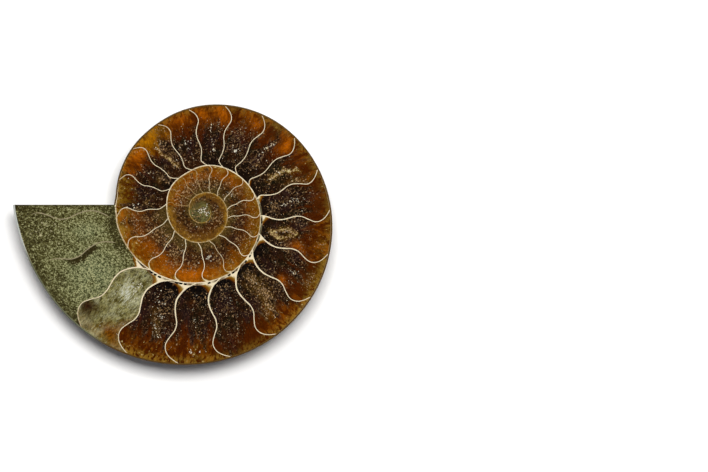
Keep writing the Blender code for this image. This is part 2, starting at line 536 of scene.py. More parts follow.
class Graph:
    """A short way to write a node tree."""

    def __init__(self, tree: NodeTree) -> None:
        """Starts on a tree."""
        self.tree = tree

    def node(self, kind: str, **settings: object) -> Node:
        """Adds a node of this kind and sets its properties."""
        node = self.tree.nodes.new(kind)
        for name, value in settings.items():
            setattr(node, name, value)
        return node

    def feed(self, node: Node, inputs: dict | Sequence) -> Node:
        """Links a node's inputs, or sets their values, by name or in their order."""
        for key, value in inputs.items() if isinstance(inputs, dict) else enumerate(inputs):
            if isinstance(value, Socket):
                self.tree.links.new(value, node.inputs[key])
            else:
                node.inputs[key].default_value = value.colour if isinstance(value, Tone) else value
        return node

    def maths(self, operation: str, *values: object, clamp: bool = False) -> Socket:
        """A Math node."""
        return self.feed(self.node("ShaderNodeMath", operation=operation, use_clamp=clamp), values).outputs[0]

    def times(self, one: object, two: object, clamp: bool = False) -> Socket:
        """The product of two values."""
        return self.maths("MULTIPLY", one, two, clamp=clamp)

    def plus(self, one: object, two: object) -> Socket:
        """The sum of two values."""
        return self.maths("ADD", one, two)

    def raised(self, base: object, value: object, share: object) -> Socket:
        """The base and a share of a value."""
        return self.maths("MULTIPLY_ADD", value, share, base)

    def swayed(self, base: object, *sways: tuple[Socket, float]) -> Socket:
        """The base moved up and down by noises, each with the share that it counts."""
        for noise, share in sways:
            base = self.raised(base, self.maths("SUBTRACT", noise, 0.5), share)
        return base

    def span(self, value: object, low: object, high: object, start: float = 0, end: float = 1) -> Socket:
        """A value that goes smoothly from start, at low, to end, at high."""
        node = self.node("ShaderNodeMapRange", interpolation_type="SMOOTHSTEP")
        return self.feed(node, (value, low, high, start, end)).outputs[0]

    def mix(self, share: object, first: object, second: object, blend: str = "MIX") -> Socket:
        """A colour mix."""
        node = self.node("ShaderNodeMix", data_type="RGBA", blend_type=blend)
        return self.feed(node, {0: share, 6: first, 7: second}).outputs[2]

    def lay(self, colour: object, *coats: tuple[object, object]) -> Socket:
        """A colour under coats, each a mask and a tone."""
        for mask, tone in coats:
            colour = self.mix(mask, colour, tone)
        return colour

    def shaded(self, colour: Socket, grain: Socket, low: float, high: float) -> Socket:
        """A colour made darker and lighter by a grain."""
        level = self.span(grain, 0.25, 0.75, low, high)
        grey = self.feed(self.node("ShaderNodeCombineColor"), (level, level, level))
        return self.mix(1.0, colour, grey.outputs[0], "MULTIPLY")

    def noise(
        self,
        vector: Socket,
        scale: object,
        detail: float,
        rough: float = 0.5,
        twist: float = 0,
        seed: object = None,
    ) -> Socket:
        """A noise from 0 to 1. With a seed it is a different one for each seed."""
        node = self.node("ShaderNodeTexNoise", noise_dimensions="3D" if seed is None else "4D")
        self.feed(node, {"Vector": vector, "Scale": scale, "Detail": detail, "Roughness": rough})
        self.feed(node, {"Distortion": twist} if seed is None else {"Distortion": twist, "W": seed})
        return node.outputs["Fac"]

    def stretched(self, vector: Socket, scale: tuple[float, float, float], turn: float = 0) -> Socket:
        """A vector turned about z and drawn out."""
        node = self.node("ShaderNodeMapping")
        return self.feed(node, {"Vector": vector, "Rotation": (0, 0, turn), "Scale": scale}).outputs[0]

    def attribute(self, name: str, output: str = "Fac") -> Socket:
        """A vertex value of the mesh."""
        return self.node("ShaderNodeAttribute", attribute_name=name).outputs[output]

    def millimetres(self) -> Socket:
        """Object coordinates in millimetres."""
        place = self.node("ShaderNodeTexCoord").outputs["Object"]
        node = self.node("ShaderNodeVectorMath", operation="SCALE")
        return self.feed(node, {0: place, "Scale": PER_METRE}).outputs[0]

    def group(self, tree: NodeTree, **inputs: object) -> Node:
        """Places a node group and feeds its inputs by name."""
        node = self.node("ShaderNodeGroup", node_tree=tree)
        return self.feed(node, {name.title(): value for name, value in inputs.items()})


def new_group(name: str, inputs: dict[str, str], outputs: Sequence[str]) -> tuple[Graph, Node, Node]:
    """Starts a shader node group.

    Args:
        name: Name of the group.
        inputs: Names of its inputs and their kinds.
        outputs: Names of its outputs, which are all plain values.

    Returns:
        Its graph, its input node and its output node.
    """
    tree = bpy.data.node_groups.new(name, "ShaderNodeTree")
    for side, sockets in (("INPUT", inputs), ("OUTPUT", dict.fromkeys(outputs, "Float"))):
        for socket, kind in sockets.items():
            tree.interface.new_socket(socket, in_out=side, socket_type=f"NodeSocket{kind}")
    graph = Graph(tree)
    return graph, graph.node("NodeGroupInput"), graph.node("NodeGroupOutput")


@dataclass(frozen=True)
class Tones:
    """The noises that vary a stone.

    Attributes:
        cloud: The slowest.
        veil: A finer one.
        grain: The finest.
        tongue: A slow one, drawn out along the radius.
    """

    NAMES = ("Cloud", "Veil", "Grain", "Tongue")

    cloud: Socket
    veil: Socket
    grain: Socket
    tongue: Socket


def speckle() -> NodeTree:
    """Small ragged flakes scattered over a face, more of them where the density is higher."""
    inputs = {"Vector": "Vector", "Fineness": "Float", "Density": "Float", "Seed": "Float"}
    graph, given, made = new_group("speckle", inputs, ("Mask", "Hue"))
    vector, fineness, density, seed = (given.outputs[name] for name in inputs)
    flake = graph.noise(vector, fineness, 2, 0.55, 0.6, seed)
    share = graph.maths("POWER", graph.maths("MAXIMUM", density, 0.0), 0.48)
    bar = graph.raised(0.80, share, -0.42)
    mask = graph.span(flake, bar, graph.plus(bar, 0.06))
    hue = graph.noise(vector, graph.times(fineness, 0.6), 1, 0.5, 0.0, graph.plus(seed, 3.0))
    graph.feed(made, (mask, hue))
    return graph.tree


def stone_cloud() -> NodeTree:
    """Slow changes of tone in a stone, its veils and fine grain, and tongues that run along the radius."""
    graph, given, made = new_group("stone_cloud", {"Vector": "Vector", "Seed": "Float"}, Tones.NAMES)
    vector, seed = given.outputs["Vector"], given.outputs["Seed"]
    drawn = graph.stretched(vector, (1.0, 0.34, 1.0))
    graph.feed(made, (
        graph.noise(vector, 0.30, 3, 0.55, 0.4, seed),
        graph.noise(vector, 0.95, 3, 0.6, 0.8, seed),
        graph.noise(vector, 2.4, 2, 0.65, 0.3, seed),
        graph.noise(drawn, 0.38, 2, 0.5, 0.3, seed),
    ))
    return graph.tree


def hand_polish() -> NodeTree:
    """Uneven polish: a roughness with faint rubbed patches, and a height with fine scratches."""
    inputs = {"Vector": "Vector", "Gloss": "Float", "Wear": "Float"}
    graph, given, made = new_group("hand_polish", inputs, ("Roughness", "Height"))
    vector, gloss, wear = (given.outputs[name] for name in inputs)
    rubbed = graph.times(graph.span(graph.noise(vector, 0.12, 3, 0.6), 0.45, 0.7), wear)
    fine = graph.noise(vector, 3.2, 2, 0.6)
    level = graph.plus(graph.swayed(gloss, (fine, 0.10)), rubbed)
    streaks = graph.noise(graph.stretched(vector, (6.0, 0.12, 1.0), 0.6), 1.0, 2)
    height = graph.raised(fine, graph.span(streaks, 0.66, 0.74), -0.5)
    graph.feed(made, (graph.maths("MAXIMUM", level, 0.04), height))
    return graph.tree


def settled_dust() -> NodeTree:
    """Pale dust in the low places of a rough surface, from 0 to 1."""
    graph, given, made = new_group("settled_dust", {"Vector": "Vector", "Low": "Float"}, ("Mask",))
    patch = graph.noise(given.outputs["Vector"], 0.5, 4, 0.65)
    graph.feed(made, (graph.span(graph.raised(patch, given.outputs["Low"], 0.35), 0.55, 0.85),))
    return graph.tree


class Effects:
    """The node groups that the materials share."""

    def __init__(self) -> None:
        """Builds each group once."""
        self.speckle = speckle()
        self.cloud = stone_cloud()
        self.polish = hand_polish()
        self.dust = settled_dust()


EFFECTS = Effects()


@dataclass(frozen=True)
class Finish:
    """Base of the finishes: a Principled material with a hand polish.

    Attributes:
        seed: Which of the patterns it has.
    """

    GLOSS = 0.13  # roughness of the polish
    WEAR = 0.05  # how much rougher the rubbed patches are
    RELIEF = 0.02 * MM  # depth of the scratches
    SPECULAR = 0.5
    SCRATCHING = 0.35  # how strongly the scratches show

    seed: float = 0.0

    def material(self, name: str) -> Material:
        """Builds the material."""
        material = bpy.data.materials.new(name)
        material.use_nodes = True
        graph = Graph(material.node_tree)
        place = graph.millimetres()
        polish = graph.group(EFFECTS.polish, vector=place, gloss=self.GLOSS, wear=self.WEAR)
        bump = graph.node("ShaderNodeBump")
        graph.feed(bump, {
            "Strength": self.SCRATCHING, "Distance": self.RELIEF, "Height": polish.outputs["Height"],
        })
        graph.feed(material.node_tree.nodes["Principled BSDF"], {
            "Base Color": self.colour(graph, place),
            "Roughness": polish.outputs["Roughness"],
            "Specular IOR Level": self.SPECULAR,
            "Normal": bump.outputs[0],
        })
        return material

    def colour(self, graph: Graph, place: Socket) -> Socket:
        """The base colour, from the material's graph and its coordinates in millimetres."""
        raise NotImplementedError

    def tones(self, graph: Graph, vector: Socket) -> Tones:
        """The noises that vary this stone."""
        made = graph.group(EFFECTS.cloud, vector=vector, seed=self.seed)
        return Tones(*[made.outputs[name] for name in Tones.NAMES])

    @staticmethod
    def flakes(
        graph: Graph,
        place: Socket,
        colour: Socket,
        fineness: float,
        density: object,
        seed: float,
        cover: float,
        *tints: Tone,
    ) -> Socket:
        """Scatters flakes over a colour.

        Args:
            graph: The material's graph.
            place: Its coordinates in millimetres.
            colour: What they lie on.
            fineness: How small they are.
            density: How thickly they lie.
            seed: Which of the patterns they follow.
            cover: How solid they are, from 0 to 1.
            tints: Their tone, or the two between which they vary.

        Returns:
            The colour with the flakes on it.
        """
        made = graph.group(EFFECTS.speckle, vector=place, fineness=fineness, density=density, seed=seed)
        tint = tints[0]
        if len(tints) > 1:
            tint = graph.mix(graph.span(made.outputs["Hue"], 0.42, 0.58), *tints)
        return graph.mix(graph.times(made.outputs["Mask"], cover), colour, tint)

    @staticmethod
    def web(graph: Graph, colour: Socket, veil: Socket) -> Socket:
        """Lays the pale web where a septum meets the inner wall."""
        ragged = graph.times(graph.attribute("web"), graph.swayed(1.0, (veil, 1.4)))
        return graph.lay(
            colour,
            (graph.span(ragged, 0.00, 0.16, 0.0, 0.9), Tone.AMBER),
            (graph.span(ragged, 0.12, 0.42), Tone.GOLD),
            (graph.span(ragged, 0.38, 0.64), Tone.CREAM),
        )


@dataclass(frozen=True)
class AmberStone(Finish):
    """Brown calcite that fills a chamber: clear and amber by the rim, dark and full of grains further in.

    Attributes:
        rim: Tone along the outer wall.
        ember: Tone that alternates with it.
        heart: Tone of the middle.
        foot: Tone by the inner wall.
        rim_depth: How far inward the rim's tone reaches.
        glow: Tone of the brightest amber.
        blaze: How much of the brightest amber there is, from 0 to 1.
        gilt: How much gold lies along the rim, from 0 to 1.
        gloom: How far the heart darkens, from 0 to 1.
        flecks: How much thicker than usual the grains lie.
        speck: Tone of the dimmer grains.
    """

    rim: Tone = Tone.AMBER
    ember: Tone = Tone.RUST
    heart: Tone = Tone.UMBER
    foot: Tone = Tone.DARK_UMBER
    rim_depth: float = 0.20
    glow: Tone = Tone.ORANGE
    blaze: float = 0.7
    gilt: float = 0.4
    gloom: float = 1.0
    flecks: float = 0.0
    speck: Tone = Tone.DIM_VIOLET

    def colour(self, graph: Graph, place: Socket) -> Socket:
        """Amber by the rim over the dark heart, with the marks, the grains and the web."""
        inward = graph.attribute("inward")
        tones = self.tones(graph, graph.attribute("fibre", "Vector"))
        cloud, veil, tongue = tones.cloud, tones.veil, tones.tongue
        reach = graph.swayed(inward, (tongue, 1.0), (veil, 0.30))
        gilded = graph.times(graph.span(inward, 0.09, 0.01), graph.span(veil, 0.40, 0.55, 0.0, self.gilt))
        warm = graph.lay(
            self.ember,
            (graph.span(graph.plus(veil, tongue), 0.92, 1.12), self.rim),
            (graph.span(graph.plus(cloud, tongue), 1.03, 1.18, 0.0, self.blaze), self.glow),
            (gilded, Tone.GOLD),
        )
        dark = graph.lay(
            self.heart,
            (graph.span(veil, 0.42, 0.58, 0.0, self.gloom), Tone.DARK_UMBER),
            (graph.span(cloud, 0.50, 0.60, 0.0, 0.7 * self.gloom), Tone.VIOLET_BROWN),
            (graph.span(cloud, 0.46, 0.38, 0.0, 0.7 * self.gloom), Tone.OLIVE_BLACK),
            (graph.span(reach, 0.58, 0.86), self.foot),
        )
        warmth = graph.span(reach, self.rim_depth + 0.16, self.rim_depth - 0.08)
        colour = graph.mix(warmth, dark, warm)
        marks = ((RUST, Tone.RUST, 0.9), (AMBER, self.glow, 1.0), (GOLD, Tone.OLIVE_GOLD, 0.8))
        for mineral, tone, cover in marks:
            cloudy = graph.span(veil, 0.3, 0.6, 0.35, cover)
            colour = graph.mix(graph.times(graph.attribute(mineral.value), cloudy), colour, tone)
        amber = graph.maths("MAXIMUM", warmth, graph.attribute(AMBER.value))
        grainy = graph.shaded(colour, tones.grain, 0.3, 1.7)
        colour = graph.mix(graph.raised(1.0, amber, -0.55), colour, grainy)
        return self.web(graph, self.grains(graph, place, colour, tones), veil)

    def grains(self, graph: Graph, place: Socket, colour: Socket, tones: Tones) -> Socket:
        """Scatters dark, dim, tan and frost-white flakes, thickest in the heart and along the veins."""
        inward = graph.attribute("inward")
        gold, tan, frost = (graph.attribute(mineral.value) for mineral in (GOLD, TAN, FROST))
        heart = graph.times(graph.span(inward, 0.02, 0.30), graph.span(inward, 1.04, 0.80))
        thick = graph.raised(self.flecks + 0.04, heart, 0.42)
        thick = graph.swayed(thick, (tones.veil, 1.6), (tones.tongue, 1.2))
        thick = graph.maths("MAXIMUM", graph.raised(thick, tan, 0.5), 0.0)
        heart = graph.maths("MAXIMUM", heart, 0.35)
        rim = graph.times(graph.span(inward, 0.34, 0.04), graph.span(tones.veil, 0.42, 0.60, 0.0, self.gilt))
        layers = (  # fineness, where, share of it, extra by a mask, share of that, cover, tints
            (1.3, heart, 0.20, 0.0, 0.0, 0.85, Tone.NEAR_BLACK),
            (1.8, thick, 0.55, tan, 0.15, 0.8, Tone.DIM_TAN, self.speck),
            (2.0, thick, 0.32, gold, 0.35, 1.0, Tone.TAN, Tone.PINK_TAN),
            (1.9, thick, 0.12, frost, 0.35, 1.0, Tone.CREAM, Tone.IVORY),
            (1.6, rim, 0.30, 0.0, 0.0, 0.8, Tone.GOLD, Tone.PALE_GOLD),
        )
        for number, (fineness, where, share, extra, more, cover, *tints) in enumerate(layers):
            density = graph.raised(graph.times(where, share), extra, more)
            colour = self.flakes(graph, place, colour, fineness, density, self.seed + number, cover, *tints)
        for mask, low, tone in ((gold, 0.80, Tone.PALE_GOLD), (frost, 0.86, Tone.IVORY)):
            torn = graph.swayed(mask, (tones.grain, 2.4), (tones.veil, 1.2))
            colour = graph.mix(graph.span(torn, low, low + 0.30, 0.0, 0.85), colour, tone)
        return colour


@dataclass(frozen=True)
class ClearCalcite(Finish):
    """Yellow-green calcite with white fibres."""

    GLOSS = 0.12
    WEAR = 0.04

    seed: float = 4.0

    def colour(self, graph: Graph, place: Socket) -> Socket:
        """Yellow-green with its stains, white streaks along the fibres, and a few grains."""
        fibre = graph.attribute("fibre", "Vector")
        tones = self.tones(graph, fibre)
        amber, gold, rust, tan, frost = (graph.attribute(mineral.value) for mineral in Mineral)
        colour = graph.lay(
            Tone.DEEP_CALCITE,
            (graph.span(tones.veil, 0.38, 0.62), Tone.CALCITE),
            (graph.span(tones.cloud, 0.45, 0.70, 0.0, 0.7), Tone.PALE_CALCITE),
            (amber, Tone.AMBER),
            (rust, Tone.UMBER),
            (graph.times(gold, 0.8), Tone.OLIVE_GOLD),
        )
        colour = graph.shaded(colour, tones.grain, 0.4, 1.6)
        streak = graph.noise(graph.stretched(fibre, (3.6, 1.3, 1.0), 0.35), 1.0, 3, 0.65, 0.6, self.seed)
        level = graph.raised(graph.raised(streak, frost, 0.24), graph.plus(amber, rust), -0.22)
        colour = graph.lay(
            colour,
            (graph.span(level, 0.54, 0.66, 0.0, 0.8), Tone.PALE_CALCITE),
            (graph.span(level, 0.68, 0.80, 0.0, 0.95), Tone.FROST),
        )
        for fineness, density, mask, cover, tone in (
            (1.6, 0.10, tan, 0.8, Tone.OLIVE_BLACK), (1.5, 0.06, frost, 0.7, Tone.FROST),
        ):
            amount = graph.raised(density, mask, 0.3)
            colour = self.flakes(graph, place, colour, fineness, amount, fineness, cover, tone)
        return self.web(graph, colour, tones.veil)


@dataclass(frozen=True)
class SettledSilt(Finish):
    """Olive sediment of fine grains, polished with the rest."""

    GLOSS = 0.22
    WEAR = 0.08
    RELIEF = 0.03 * MM
    CELLS = ((2.5, 0.50), (3.8, 0.52))  # scale of the grains, and how far they differ

    seed: float = 2.0

    def colour(self, graph: Graph, place: Socket) -> Socket:
        """Dark, middling and pale grains, greener in the pale part and brown by the edges."""
        tones = self.tones(graph, place)
        pale, brown = graph.attribute("pale"), graph.attribute("brown")
        level = graph.swayed(-0.12, (tones.grain, 1.0), (tones.veil, 0.35))
        for scale, share in self.CELLS:
            cells = graph.node("ShaderNodeTexVoronoi", voronoi_dimensions="2D")
            graph.feed(cells, {"Vector": place, "Scale": scale})
            drawn = graph.feed(graph.node("ShaderNodeSeparateColor"), (cells.outputs["Color"],))
            level = graph.raised(level, drawn.outputs[0], share)
        level = graph.raised(graph.raised(level, pale, 0.13), brown, -0.19)
        colour = graph.lay(
            Tone.SILT,
            (graph.times(graph.span(tones.cloud, 0.2, 0.5), pale, clamp=True), Tone.GREEN_SILT),
            (graph.times(brown, 0.8, clamp=True), Tone.BROWN_SILT),
            (graph.span(level, 0.40, 0.12, 0.0, 0.95), Tone.DARK_SILT),
            (graph.span(level, 0.44, 0.76, 0.0, 0.95), Tone.PALE_SILT),
        )
        density = graph.raised(0.03, graph.attribute("grains"), 0.20)
        colour = self.flakes(graph, place, colour, 1.3, density, 1.0, 0.8, Tone.PALE_GRAIN)
        return self.web(graph, colour, tones.veil)


@dataclass(frozen=True)
class WallCalcite(Finish):
    """The pale calcite of the shell's walls.

    Attributes:
        stained: Tone where it is stained.
        stain: How much of it is stained, from 0 to 1.
        tone: Its main tone.
    """

    GLOSS = 0.2
    WEAR = 0.06
    RELIEF = 0.015 * MM

    seed: float = 1.0
    stained: Tone = Tone.TAN
    stain: float = 0.3
    tone: Tone = Tone.CREAM

    def colour(self, graph: Graph, place: Socket) -> Socket:
        """The main tone with stains, cold patches and dark pores."""
        tones = self.tones(graph, place)
        level = graph.swayed(graph.attribute("faint"), (tones.veil, 1.2), (tones.grain, 0.6))
        level = graph.plus(level, self.stain - 0.3)
        return graph.lay(
            self.tone,
            (graph.span(level, -0.1, 0.9), self.stained),
            (graph.attribute("cold"), Tone.DULL_GREEN),
            (graph.attribute("pit"), Tone.NEAR_BLACK),
        )


@dataclass(frozen=True)
class ShellEdge(Finish):
    """The shell seen edge on: a broken line of gold, grey in places, that ends in a painted highlight, white
    to teal, by the sawn tip.
    """

    GLOSS = 0.16
    RELIEF = 0.015 * MM

    seed: float = 7.0

    def colour(self, graph: Graph, place: Socket) -> Socket:
        """Gold and brown under the brown, grey and cream parts, and the painted highlight by the sawn tip."""
        tones = self.tones(graph, place)
        # painted highlight of the rounded bevel by the sawn tip: white on the outer side, teal on the inner
        nacre = graph.mix(graph.span(graph.attribute("aside"), 0.0, -0.3), Tone.NACRE_AND_GLINT, Tone.GLINT_EDGE_TEAL)
        return graph.lay(
            Tone.CHESTNUT,
            (graph.span(tones.veil, 0.42, 0.58), Tone.GOLD),
            (graph.span(tones.grain, 0.45, 0.65), Tone.PALE_GOLD),
            (graph.attribute("faint"), Tone.MOSS_BROWN),
            (graph.attribute("pale"), Tone.SHELL_GREY),
            (graph.attribute("wall"), Tone.CREAM),
            (graph.attribute("nacre"), nacre),
        )


@dataclass(frozen=True)
class WornShell(Finish):
    """The outside of the fossil: rubbed brown shell with the frilled suture lines of the septa.

    Attributes:
        frill: How far a suture wanders, as a share of the space between two.
        line: Its width, as a share of the same.
    """

    GLOSS = 0.3
    WEAR = 0.15
    RELIEF = 0.05 * MM
    SPECULAR = 0.15

    seed: float = 3.0
    frill: float = 0.62
    line: float = 0.035

    def colour(self, graph: Graph, place: Socket) -> Socket:
        """Brown shell with its sutures, painted shade in its low places and dust there, and the tones of its
        edge by the cut face, with a painted highlight by the sawn tip.
        """
        tones = self.tones(graph, place)
        low = graph.attribute("low")
        colour = graph.lay(
            Tone.SHELL_BROWN,
            (graph.span(tones.cloud, 0.3, 0.7), Tone.SHELL_TAN),
            (graph.span(tones.veil, 0.5, 0.75, 0.0, 0.6), Tone.CHESTNUT),
            (graph.times(self.suture(graph), 0.85), Tone.SHELL_DARK),
            # painted shade: darker in the rib hollows and deep in the umbilicus
            (graph.times(low, 0.6), Tone.SHELL_DARK),
        )
        dust = graph.group(EFFECTS.dust, vector=place, low=low)
        return graph.lay(
            graph.shaded(colour, tones.grain, 0.75, 1.25),
            (graph.times(dust.outputs["Mask"], 0.35), Tone.PALE_SILT),
            (graph.attribute("edge"), Tone.RIM_BROWN),
            (graph.attribute("silted"), Tone.DULL_GREEN),
            # painted highlight on the bevel by the sawn tip
            (graph.attribute("nacre"), Tone.NACRE_AND_GLINT),
        )

    def suture(self, graph: Graph) -> Socket:
        """The lines where the septa meet the shell, from 0 to 1."""
        phase, across = graph.attribute("septum"), graph.attribute("across")
        lobes = graph.maths("SINE", graph.times(across, 21.0))
        spread = graph.node("ShaderNodeCombineXYZ")
        graph.feed(spread, (graph.times(across, 9.0), graph.times(phase, 5.0)))
        ragged = graph.noise(spread.outputs[0], 1.0, 6, 0.72)
        bent = graph.swayed(graph.raised(phase, lobes, 0.25 * self.frill), (ragged, 1.6 * self.frill))
        away = graph.maths("ABSOLUTE", graph.maths("SUBTRACT", graph.maths("FRACT", bent), 0.5))
        line = graph.span(away, self.line, self.line * 2.2, 1.0, 0.0)
        return graph.times(line, graph.attribute("chambered"))


@dataclass(frozen=True)
class SawnStone(Finish):
    """The sawn end: the shell's wall over olive sediment."""

    GLOSS = 0.35
    WEAR = 0.15
    RELIEF = 0.05 * MM
    GRAINS = ((1.2, 0.3, Tone.DARK_SILT), (1.3, 0.4, Tone.PALE_SILT), (1.7, 0.2, Tone.GREEN_SILT))

    seed: float = 5.0

    def colour(self, graph: Graph, place: Socket) -> Socket:
        """Olive sediment under three layers of grains, and brown along its edge."""
        tones = self.tones(graph, place)
        colour = graph.lay(
            Tone.BROWN_SILT,
            (graph.span(tones.cloud, 0.35, 0.65), Tone.SILT),
            (graph.span(tones.grain, 0.5, 0.7, 0.0, 0.7), Tone.DARK_SILT),
        )
        for fineness, density, tone in self.GRAINS:
            colour = self.flakes(graph, place, colour, fineness, density, fineness, 0.55, tone)
        return graph.mix(graph.attribute("edge"), colour, Tone.BROWN_SILT)


@dataclass(frozen=True)
class WhiteCrystal(Finish):
    """Small clear to white crystals."""

    GLOSS = 0.1
    WEAR = 0.03
    RELIEF = 0.01 * MM

    seed: float = 9.0

    def colour(self, graph: Graph, place: Socket) -> Socket:
        """Grey to ivory and white."""
        tones = self.tones(graph, place)
        return graph.lay(
            Tone.GREY,
            (graph.span(tones.grain, 0.35, 0.65), Tone.IVORY),
            (graph.span(tones.veil, 0.5, 0.7, 0.0, 0.5), Tone.NACRE_AND_GLINT),
        )


# ---------------------------------------------------------------- marks in the chambers


@dataclass(frozen=True)
class Spot:
    """A soft patch of one mineral.

    Attributes:
        kind: The mineral.
        across: Where it lies from the earlier septum, at 0, to the later one, at 1; in an inner whorl, its
            angle in degrees.
        inward: Where it lies from the outer wall to the inner one.
        wide: Its reach across.
        long: Its reach inward.
        strength: How solid it is, from 0 to 1.
    """

    kind: Mineral
    across: float
    inward: float
    wide: float
    long: float
    strength: float

    def cover(self, across: Array, inward: Array, plan: Array, place: Callable) -> Array:
        """How much of the mineral there is at each vertex."""
        return self.strength * hill((across, self.across, self.wide), (inward, self.inward, self.long))


@dataclass(frozen=True)
class Vein:
    """A line of one mineral through a few places, each across and inward.

    Attributes:
        kind: The mineral.
        path: The places.
        width: Half width, in millimetres.
        strength: How solid it is, from 0 to 1.
    """

    kind: Mineral
    path: tuple[tuple[float, float], ...]
    width: float
    strength: float

    def cover(self, across: Array, inward: Array, plan: Array, place: Callable) -> Array:
        """How much of the mineral there is at each vertex."""
        ends = place(*np.array(self.path, float).T)
        nearest = np.full(plan.shape[:-1], 1.0)
        for start, end in zip(ends, ends[1:]):
            run = end - start
            share = np.clip(((plan - start) @ run) / (run @ run), 0, 1)
            nearest = np.minimum(nearest, np.linalg.norm(plan - start - share[..., None] * run, axis=-1))
        x, y = plan[..., 0] * PER_METRE, plan[..., 1] * PER_METRE
        wander = 1 + 0.7 * ripple(y * 1.3 + x, self.width * 9) + 0.5 * ripple(x * 2.9 - y * 1.7, 4.0)
        reach = self.width * np.clip(wander, 0.15, 2.2)
        return self.strength * np.exp(-((nearest * PER_METRE / reach) ** 2))


Mark = Spot | Vein


def paint(
    marks: Sequence[Mark], across: Array, inward: Array, plan: Array, place: Callable
) -> dict[str, Array]:
    """The masks of all minerals over a grid.

    Args:
        marks: What lies there.
        across: The grid's places across.
        inward: The grid's places inward.
        plan: Its x, y positions.
        place: Gives the x, y position of an across and an inward.

    Returns:
        One array to each mineral, by the name of its mask.
    """
    masks = {}
    for mineral in Mineral:
        clear = np.ones_like(across)
        for mark in marks:
            if mark.kind is mineral:
                clear = clear * (1 - np.clip(mark.cover(across, inward, plan, place), 0, 1))
        masks[mineral.value] = 1 - clear
    return masks


@dataclass(frozen=True)
class Web:
    """The pale corner between a septum's foot and the inner wall, outside the rounded end of the stone.

    Attributes:
        reach: How far it goes along the wall, in degrees.
        start: How far inward it begins along the septum.
        strength: 1 for cream at the corner, and less for gold alone.
    """

    HOLLOW = 1.35  # how hollow the corner's inner side is: 1 for straight
    LAST_BEND = 0.9  # how far inward the septum's own course is followed

    reach: float = 1.0
    start: float = 0.9
    strength: float = 0.0

    def cover(self, septum: Septum, degrees: Array, inward: Array, middle: float) -> Array:
        """How far into the web each vertex lies, from 0 to 1.

        Args:
            septum: The septum whose foot it lies by.
            degrees: Angle of each vertex.
            inward: How far inward it lies.
            middle: Angle at which the inner wall's second layer is measured.
        """
        floor = float(SpiralWall.second_inward(np.array(middle)))
        past = degrees - septum.angle(np.minimum(inward, self.LAST_BEND))
        aside = np.clip(1 - past / self.reach, 0, 1)
        down = np.clip((inward - self.start) / (floor - self.start), 0, 1)
        return self.strength * np.clip(aside**self.HOLLOW + down**self.HOLLOW - 1, 0, 1)


@dataclass(frozen=True)
class Chamber:
    """What fills one chamber of the last whorl."""

    stone: Finish
    marks: tuple[Mark, ...]
    web: Web = Web()


